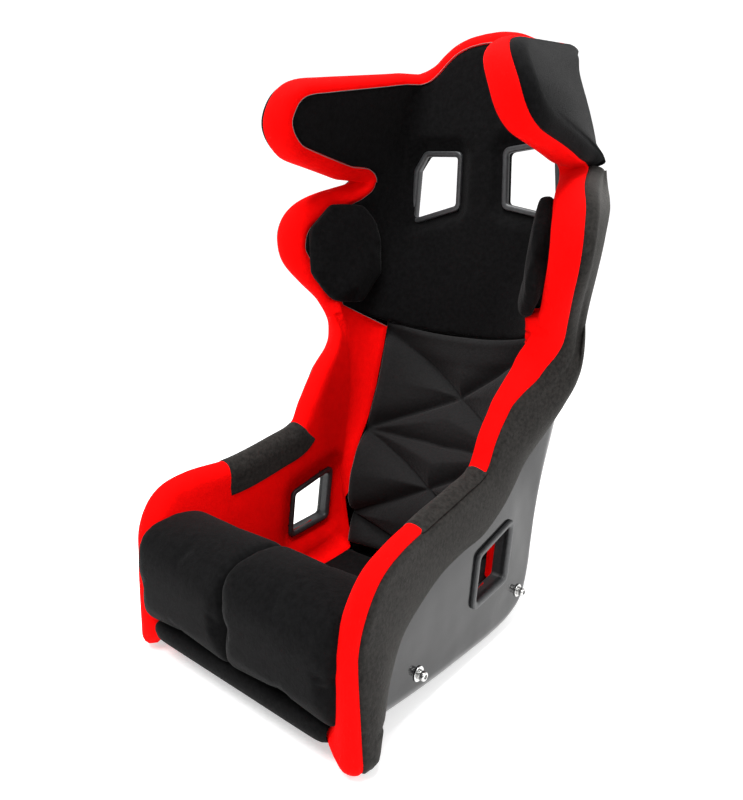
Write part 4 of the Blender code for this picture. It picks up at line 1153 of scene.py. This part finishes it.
def stuffed(name, mesh, pressure, most, size=0.006):
    """The closed shape with its skin blown up like filled fabric, by no more than the distance most."""
    skin = remeshed(name, mesh, size)
    obj = bpy.data.objects.new(name, skin)
    bpy.context.scene.collection.objects.link(obj)
    before = np.array([v.co[:] for v in skin.vertices])
    cloth = obj.modifiers.new("cloth", "CLOTH")
    settings = cloth.settings
    settings.quality = 6
    settings.mass = 0.25
    settings.tension_stiffness = 25
    settings.compression_stiffness = 12
    settings.shear_stiffness = 8
    settings.bending_stiffness = 0.6
    settings.use_pressure = True
    settings.uniform_pressure_force = pressure
    settings.shrink_min = -0.03
    settings.effector_weights.gravity = 0
    cloth.point_cache.frame_start = 1
    cloth.point_cache.frame_end = 20
    scene = bpy.context.scene
    for number in range(1, 21):
        scene.frame_set(number)
    bake(obj)
    after = np.array([v.co[:] for v in obj.data.vertices])
    scene.frame_set(1)
    made = obj.data
    bpy.data.objects.remove(obj, do_unlink=True)
    move = after - before
    size_of = np.linalg.norm(move, axis=1, keepdims=True)
    move *= np.minimum(1.0, most / np.maximum(size_of, 1e-9))
    made.vertices.foreach_set("co", (before + move).astype(np.float32).ravel())
    made.update()
    return made


# Side views (y, z) of a thigh cushion and of the strip under it, as closed outlines.
THIGH_PROFILE = [
    (-0.322, 0.068), (-0.333, 0.088), (-0.336, 0.130), (-0.336, 0.172), (-0.328, 0.202), (-0.308, 0.217),
    (-0.280, 0.222), (-0.250, 0.221), (-0.220, 0.212), (-0.204, 0.190), (-0.200, 0.150), (-0.200, 0.110),
    (-0.204, 0.070), (-0.262, 0.066),
]
THIGH_X = (0.0008, 0.1975)
STRIP_PROFILE = [
    (-0.306, 0.034), (-0.318, 0.034), (-0.326, 0.040), (-0.3285, 0.052), (-0.325, 0.064), (-0.315, 0.068),
    (-0.306, 0.064), (-0.306, 0.034),
]
STRIP_HALF = 0.183


def cushion_shape(low, high):
    """A cushion across x whose side view is the profile, drawn in towards both ends."""
    profile = smooth_path(THIGH_PROFILE + THIGH_PROFILE[:1], 0.006)[:-1]
    middle = profile.mean(axis=0)
    rows = []
    steps = 33
    for k in range(steps):
        f = k / (steps - 1)
        edge = abs(2 * f - 1)
        shrink = 1 - 0.09 * edge**14
        x = low + (high - low) * (0.5 + 0.5 * math.sin((f - 0.5) * math.pi * 0.97))
        rows.append(np.column_stack([np.full(len(profile), x), middle + (profile - middle) * shrink]))
    grid = np.array(rows)
    count = len(profile)
    faces = []
    for i in range(steps - 1):
        for j in range(count):
            k = (j + 1) % count
            faces.append((i * count + j, i * count + k, (i + 1) * count + k, (i + 1) * count + j))
    faces += [tuple(range(count)), tuple(range((steps - 1) * count, steps * count))]
    mesh = mesh_from(grid.reshape(-1, 3), faces, "cushion")
    face_out(mesh)
    return mesh


def subdivide(objects):
    for obj in objects:
        soft = obj.modifiers.new("fine", "SUBSURF")
        soft.levels = soft.render_levels = 1


def make_thigh_cushions():
    mesh = stuffed("thigh_cushion_shape", cushion_shape(*THIGH_X), 4.0, 0.005)
    made = both_sides("thigh_cushion_look", mesh, "black_velour", ["thigh_cushion"], "thigh_cushion")
    subdivide(made)


HEX_CENTRE = (0.224, 0.160, 0.612)      # on the wing's inner surface, on the left side
HEX = [(-0.070, 0.046), (-0.026, 0.094), (0.040, 0.090), (0.074, 0.048), (0.072, -0.040), (0.026, -0.092),
       (-0.036, -0.086), (-0.074, -0.034)]
HEX_T = 0.024
LATTICE, LATTICE_HALF = 9, 0.09
FOLLOW = 0.35                           # how closely a pad follows the wing, against lying flat


def nearest_place(point, t, c):
    """The section place of the upholstery nearest to the point, from a first guess."""
    e = 0.004
    for _ in range(14):
        here = spot(t, c, 1.0)
        dt = (spot(t + e, c, 1.0) - spot(t - e, c, 1.0)) / (2 * e)
        dc = (spot(t, c + e, 1.0) - spot(t, c - e, 1.0)) / (2 * e)
        square = np.array([[dt @ dt, dt @ dc], [dt @ dc, dc @ dc]])
        step = np.linalg.solve(square, [dt @ (point - here), dc @ (point - here)])
        t = float(np.clip(t + np.clip(step[0], -0.8, 0.8), 12, 20))
        c = float(np.clip(c + np.clip(step[1], -0.3, 0.3), 0.5, 3.0))
    return t, c


def make_shoulder_pads():
    """Pads on the shoulder wings: made flat, filled, then laid on the wing."""
    outline = outline_path(HEX, 0.014, 5)
    flat = prism(outline, "Z", 0.003, HEX_T, "shoulder_pad_shape")
    mesh = stuffed("shoulder_pad_shape", flat, 4.0, 0.006, size=0.005)
    t, c = nearest_place(np.array(HEX_CENTRE), 16.5, 2.1)
    centre, normal = spot(t, c, 1.0), inward(t, c, 1.0)
    up = unit(np.array([0, 0, 1.0]) - normal * normal[2])
    side = np.cross(up, normal)
    side = side if side[1] > 0 else -side
    marks = np.linspace(-LATTICE_HALF, LATTICE_HALF, LATTICE)
    lattice = np.zeros((LATTICE, LATTICE, 2, 3))
    for i, a in enumerate(marks):
        for j, b in enumerate(marks):
            place = nearest_place(centre + side * a + up * b, t, c)
            lattice[i, j, 0] = spot(*place, 1.0)
            lattice[i, j, 1] = inward(*place, 1.0)

    def laid(a, b, h):
        u = np.clip((a + LATTICE_HALF) / (2 * LATTICE_HALF) * (LATTICE - 1), 0, LATTICE - 1.001)
        v = np.clip((b + LATTICE_HALF) / (2 * LATTICE_HALF) * (LATTICE - 1), 0, LATTICE - 1.001)
        i, j = int(u), int(v)
        fu, fv = u - i, v - j
        mix = (lattice[i, j] * (1 - fu) * (1 - fv) + lattice[i + 1, j] * fu * (1 - fv)
               + lattice[i, j + 1] * (1 - fu) * fv + lattice[i + 1, j + 1] * fu * fv)
        base = FOLLOW * mix[0] + (1 - FOLLOW) * (centre + side * a + up * b)
        return base + unit(FOLLOW * mix[1] + (1 - FOLLOW) * normal) * (h + 0.004)

    for vert in mesh.vertices:
        vert.co = laid(*vert.co)
    face_out(mesh)
    made = both_sides("shoulder_pad_look", mesh, "black_velour", ["shoulder_pad"], "shoulder_pad")
    subdivide(made)


def make_base_pad():
    rows = np.linspace(0.45, 4.9, 40)
    grid = np.array([[spot(float(t), float(c), 1.0) for c in np.linspace(-1.15, 1.15, 60)] for t in rows])
    normals = grid_normals(grid, np.broadcast_to(np.array([0, 0, 1.0]), grid.shape))
    along = np.minimum(rows - rows[0], rows[-1] - rows)[:, None] * 0.09 * np.ones(60)
    grid = roll_down(grid, normals, along, 0.010, 0.02)
    mesh = grid_mesh(grid, "base_pad_look")
    face_out(mesh)
    piece("base_pad_look", mesh, "black_velour", ["seat_base_pad"])


def make_front_strip():
    """Band across the front of the pan, under the thigh cushions."""
    profile = smooth_path(STRIP_PROFILE, 0.003)[:-1]
    middle = profile.mean(axis=0)
    rows = []
    for k in range(41):
        x = -STRIP_HALF + 2 * STRIP_HALF * k / 40
        shrink = 1 - 0.35 * abs(x / STRIP_HALF)**24
        rows.append(np.column_stack([np.full(len(profile), x), middle + (profile - middle) * shrink]))
    mesh = grid_mesh(np.array(rows), "front_strip_look", closed=True)
    face_out(mesh)
    piece("front_strip_look", mesh, "black_velour", ["front_strip"])


# ---------------------------------------------------------------- bezels
def bezel_mesh(opening, rim, axis, face, towards, sleeve_end, name, flare=0.0):
    """A moulded ring round an opening: flange with rounded edges, then the sleeve through the wall.

    face is the flange's back on the axis, towards is the way it faces, and flare widens the sleeve's end.
    """
    height = BEZEL_T * towards
    section = [(rim, 0.0), (rim, 0.55), (rim - 0.0006, 0.85), (rim - 0.0022, 1.0), (0.0075, 1.0),
               (0.0050, 0.92), (0.0030, 0.70), (0.0022, 0.40)]

    def ring(growth, corner, depth):
        return [at_depth(p, axis, depth) for p in outline_path(grown(opening, growth), corner, 6)]

    rings = [ring(out, 0.006 + 0.7 * out, face + height * up) for out, up in section]
    for depth in (0.0, 1.0):
        rings.append(ring(0.0018 + flare * depth, 0.0075, face + (sleeve_end - face) * depth))
    rings.append(ring(0.0032 + flare, 0.008, sleeve_end))
    rings.append(ring(0.0032, 0.008, face))
    mesh = grid_mesh(np.array(rings), name, closed=True)
    face_out(mesh)
    return mesh


def make_bezels():
    front = spot(19.0, 0.6, 1.0)[1] + BACK_DISH - 0.0010
    rear = spot(19.0, 0.6)[1] + SHELL_T / 2 + 0.0005
    outer = MOUNT_X + SHELL_T / 2
    rear_slot = grown(SHOULDER_SLOT, 0.006)
    for name, slot, rim, axis, face, towards, end, flare in (
        ("shoulder_bezel_front", SHOULDER_SLOT, 0.0125, "Y", front, -1, rear, SLEEVE_FLARE),
        ("shoulder_bezel_rear", rear_slot, 0.0085, "Y", rear, 1, rear - 0.006, 0.0),
        ("lap_bezel_inner", LAP_SLOT, BEZEL_RIM, "X", LAP_FLANGE_X, -1, outer, 0.0),
        ("lap_bezel_outer", LAP_SLOT, BEZEL_RIM, "X", outer, 1, outer - 0.006, 0.0),
    ):
        mesh = bezel_mesh(slot, rim, axis, face, towards, end, name + "_look", flare)
        both_sides(name + "_look", mesh, "bezel_plastic", [name], sharp=50)
    low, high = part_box("crotch_bezel")
    mesh = bezel_mesh(CROTCH_SLOT, 0.010, "Z", high[2] - 0.003, 1, low[2], "crotch_bezel_look")
    piece("crotch_bezel_look", mesh, "bezel_plastic", ["crotch_bezel"], sharp=50)


# ---------------------------------------------------------------- side mount hardware
def turned(profile, segments=56, bumps=None):
    """A turned piece about the X axis. The profile is (distance out, radius)."""
    rings = []
    for out, radius in profile:
        ring = []
        for k in range(segments):
            angle = 2 * math.pi * k / segments
            r = radius * (1 + (0.022 if bumps and bumps[0] <= out <= bumps[1] and k % 2 else 0))
            ring.append((out, r * math.cos(angle), r * math.sin(angle)))
        rings.append(ring)
    mesh = grid_mesh(np.array(rings), "turned", closed=True)
    work = bmesh.new()
    work.from_mesh(mesh)
    bmesh.ops.remove_doubles(work, verts=work.verts, dist=1e-6)
    bmesh.ops.recalc_face_normals(work, faces=work.faces)
    work.to_mesh(mesh)
    work.free()
    return mesh


def placed(mesh, origin):
    made = mesh.copy()
    made.transform(Matrix.Translation(origin))
    return made


def make_hardware():
    face = MOUNT_X + SHELL_T / 2 + 0.0003
    hole = 0.0043
    washer = turned([(0, hole), (0, 0.0106), (0.0004, 0.011), (0.0014, 0.011), (0.0018, 0.0106),
                     (0.0018, hole), (0, hole)])
    spring = turned([(0.0021, hole), (0.0021, 0.0069), (0.0024, 0.0071), (0.0038, 0.0071), (0.0041, 0.0069),
                     (0.0041, hole), (0.0021, hole)])
    seat, top, key = 0.0044, 0.0124, 0.0034
    bolt = turned([(seat - 0.020, 1e-6), (seat - 0.020, 0.0038), (seat, 0.0040), (seat, 0.0063),
                   (seat + 0.0006, 0.0066), (top - 0.0014, 0.0066), (top - 0.0003, 0.0060), (top, 0.0054),
                   (top, 1e-6)], bumps=(seat + 0.0005, top - 0.0013))
    insert = turned([(-0.0057, hole), (-0.0057, 0.013), (-0.0082, 0.013), (-0.0082, 0.0062),
                     (-0.0147, 0.0062), (-0.0147, hole), (-0.0057, hole)])
    for place, y in zip(("front", "rear"), BOLT_Y):
        origin = (face, y, MOUNT_Z)
        for name, mesh, slot in (("washer", washer, "zinc_steel"), ("spring_washer", spring, "zinc_steel"),
                                 ("insert", insert, "insert_steel")):
            both_sides(f"{name}_look_{place}", placed(mesh, origin), slot, [f"{name}_{place}"], sharp=35)
        shape = placed(bolt, origin)
        bolts = both_sides(f"bolt_look_{place}", shape, "zinc_steel", [f"bolt_{place}"], sharp=35)
        for sign, obj in zip((1, -1), bolts):
            ends = sorted((sign * (face + top - 0.0045), sign * (face + top + 0.01)))
            corners = circle(key / math.cos(math.pi / 6) * 0.94, 6, (y, MOUNT_Z))
            cut(obj, [prism(corners, "X", *ends, "hex_key")])
            obj.data.shade_smooth()
            obj.data.set_sharp_from_angle(angle=math.radians(35))


# ---------------------------------------------------------------- stage
def make_stage():
    floor = bpy.data.meshes.new("studio_floor")
    size, back, bend = 14.0, 9.0, 5.0
    start = back - bend
    profile = [(-size, 0.0), (start, 0.0)]
    for a in np.linspace(0.05, math.pi / 2, 24):
        profile.append((start + bend * math.sin(a), bend - bend * math.cos(a)))
    rows = np.array([[(x, y, z) for y, z in profile] for x in (-size, size)])
    floor = grid_mesh(rows, "studio_floor")
    obj = bpy.data.objects.new("studio_floor", floor)
    obj.rotation_euler = (0, 0, math.radians(39))
    bpy.context.scene.collection.objects.link(obj)
    made, tree, shader = material("studio_paper")
    colour = ramp(tree, noise(tree, 3, 2.0), 0.3, 0.7, (0.86, 0.86, 0.86), (0.88, 0.88, 0.88))
    tree.links.new(colour, shader.inputs["Base Color"])
    shader.inputs["Roughness"].default_value = 0.9
    shader.inputs["Emission Color"].default_value = (1, 1, 1, 1)
    shader.inputs["Emission Strength"].default_value = 0.45
    floor.materials.append(made)
    floor.shade_smooth()


# name, place, aim, size, power
LIGHTS = [
    ("key", (0.2, -1.7, 2.7), (0, 0, 0.45), (1.2, 0.9), 56),
    ("side", (2.2, 0.5, 1.3), (0, 0, 0.35), (0.25, 0.9), 26),
    ("top", (0.0, -0.2, 2.6), (0, 0, 0.5), (1.2, 1.2), 75),
]


def area_light(name, place, aim, size, power):
    data = bpy.data.lights.new(name, "AREA")
    data.shape = "RECTANGLE"
    data.size, data.size_y = size
    data.energy = power
    light = bpy.data.objects.new(name, data)
    light.location = place
    light.rotation_euler = (Vector(aim) - Vector(place)).to_track_quat("-Z", "Y").to_euler()
    bpy.context.scene.collection.objects.link(light)


def make_lights():
    world = bpy.data.worlds.new("studio")
    bpy.context.scene.world = world
    world.use_nodes = True
    world.node_tree.nodes["Background"].inputs["Color"].default_value = (1, 1, 1, 1)
    world.node_tree.nodes["Background"].inputs["Strength"].default_value = 0.60
    for light in LIGHTS:
        area_light(*light)
    bpy.context.scene.view_settings.view_transform = "Standard"


LENS = 30.15
CAMERA_PLACE = (0.66923, -0.82738, 0.65061)
CAMERA_DOWN, CAMERA_TURN = 13.915, 39.461     # degrees below level, and from facing +Y


def make_camera():
    data = bpy.data.cameras.new("camera")
    data.lens = LENS
    camera = bpy.data.objects.new("camera", data)
    camera.location = CAMERA_PLACE
    camera.rotation_euler = (math.radians(90 - CAMERA_DOWN), 0, math.radians(CAMERA_TURN))
    bpy.context.scene.collection.objects.link(camera)
    bpy.context.scene.camera = camera


# ---------------------------------------------------------------- build
make_camera()
make_lights()
make_stage()
make_shell()
body_seam = make_red_sides()
head_seam = make_head_rim()
make_elbow_patches()
make_bands()
make_upper_back()
make_quilt()
make_thigh_cushions()
make_shoulder_pads()
make_base_pad()
make_front_strip()
make_bezels()
make_hardware()

# thin light tubes along the red and black seams: thread, whose light colour paints the highlight on the seam
# lines
near_side = np.array(body_seam)
far_side = near_side * np.array([-1.0, 1.0, 1.0])
tube("seam_threads_and_highlight", [near_side, far_side, np.array(head_seam)], THREAD_AND_HIGHLIGHT_R, "thread_and_highlight")
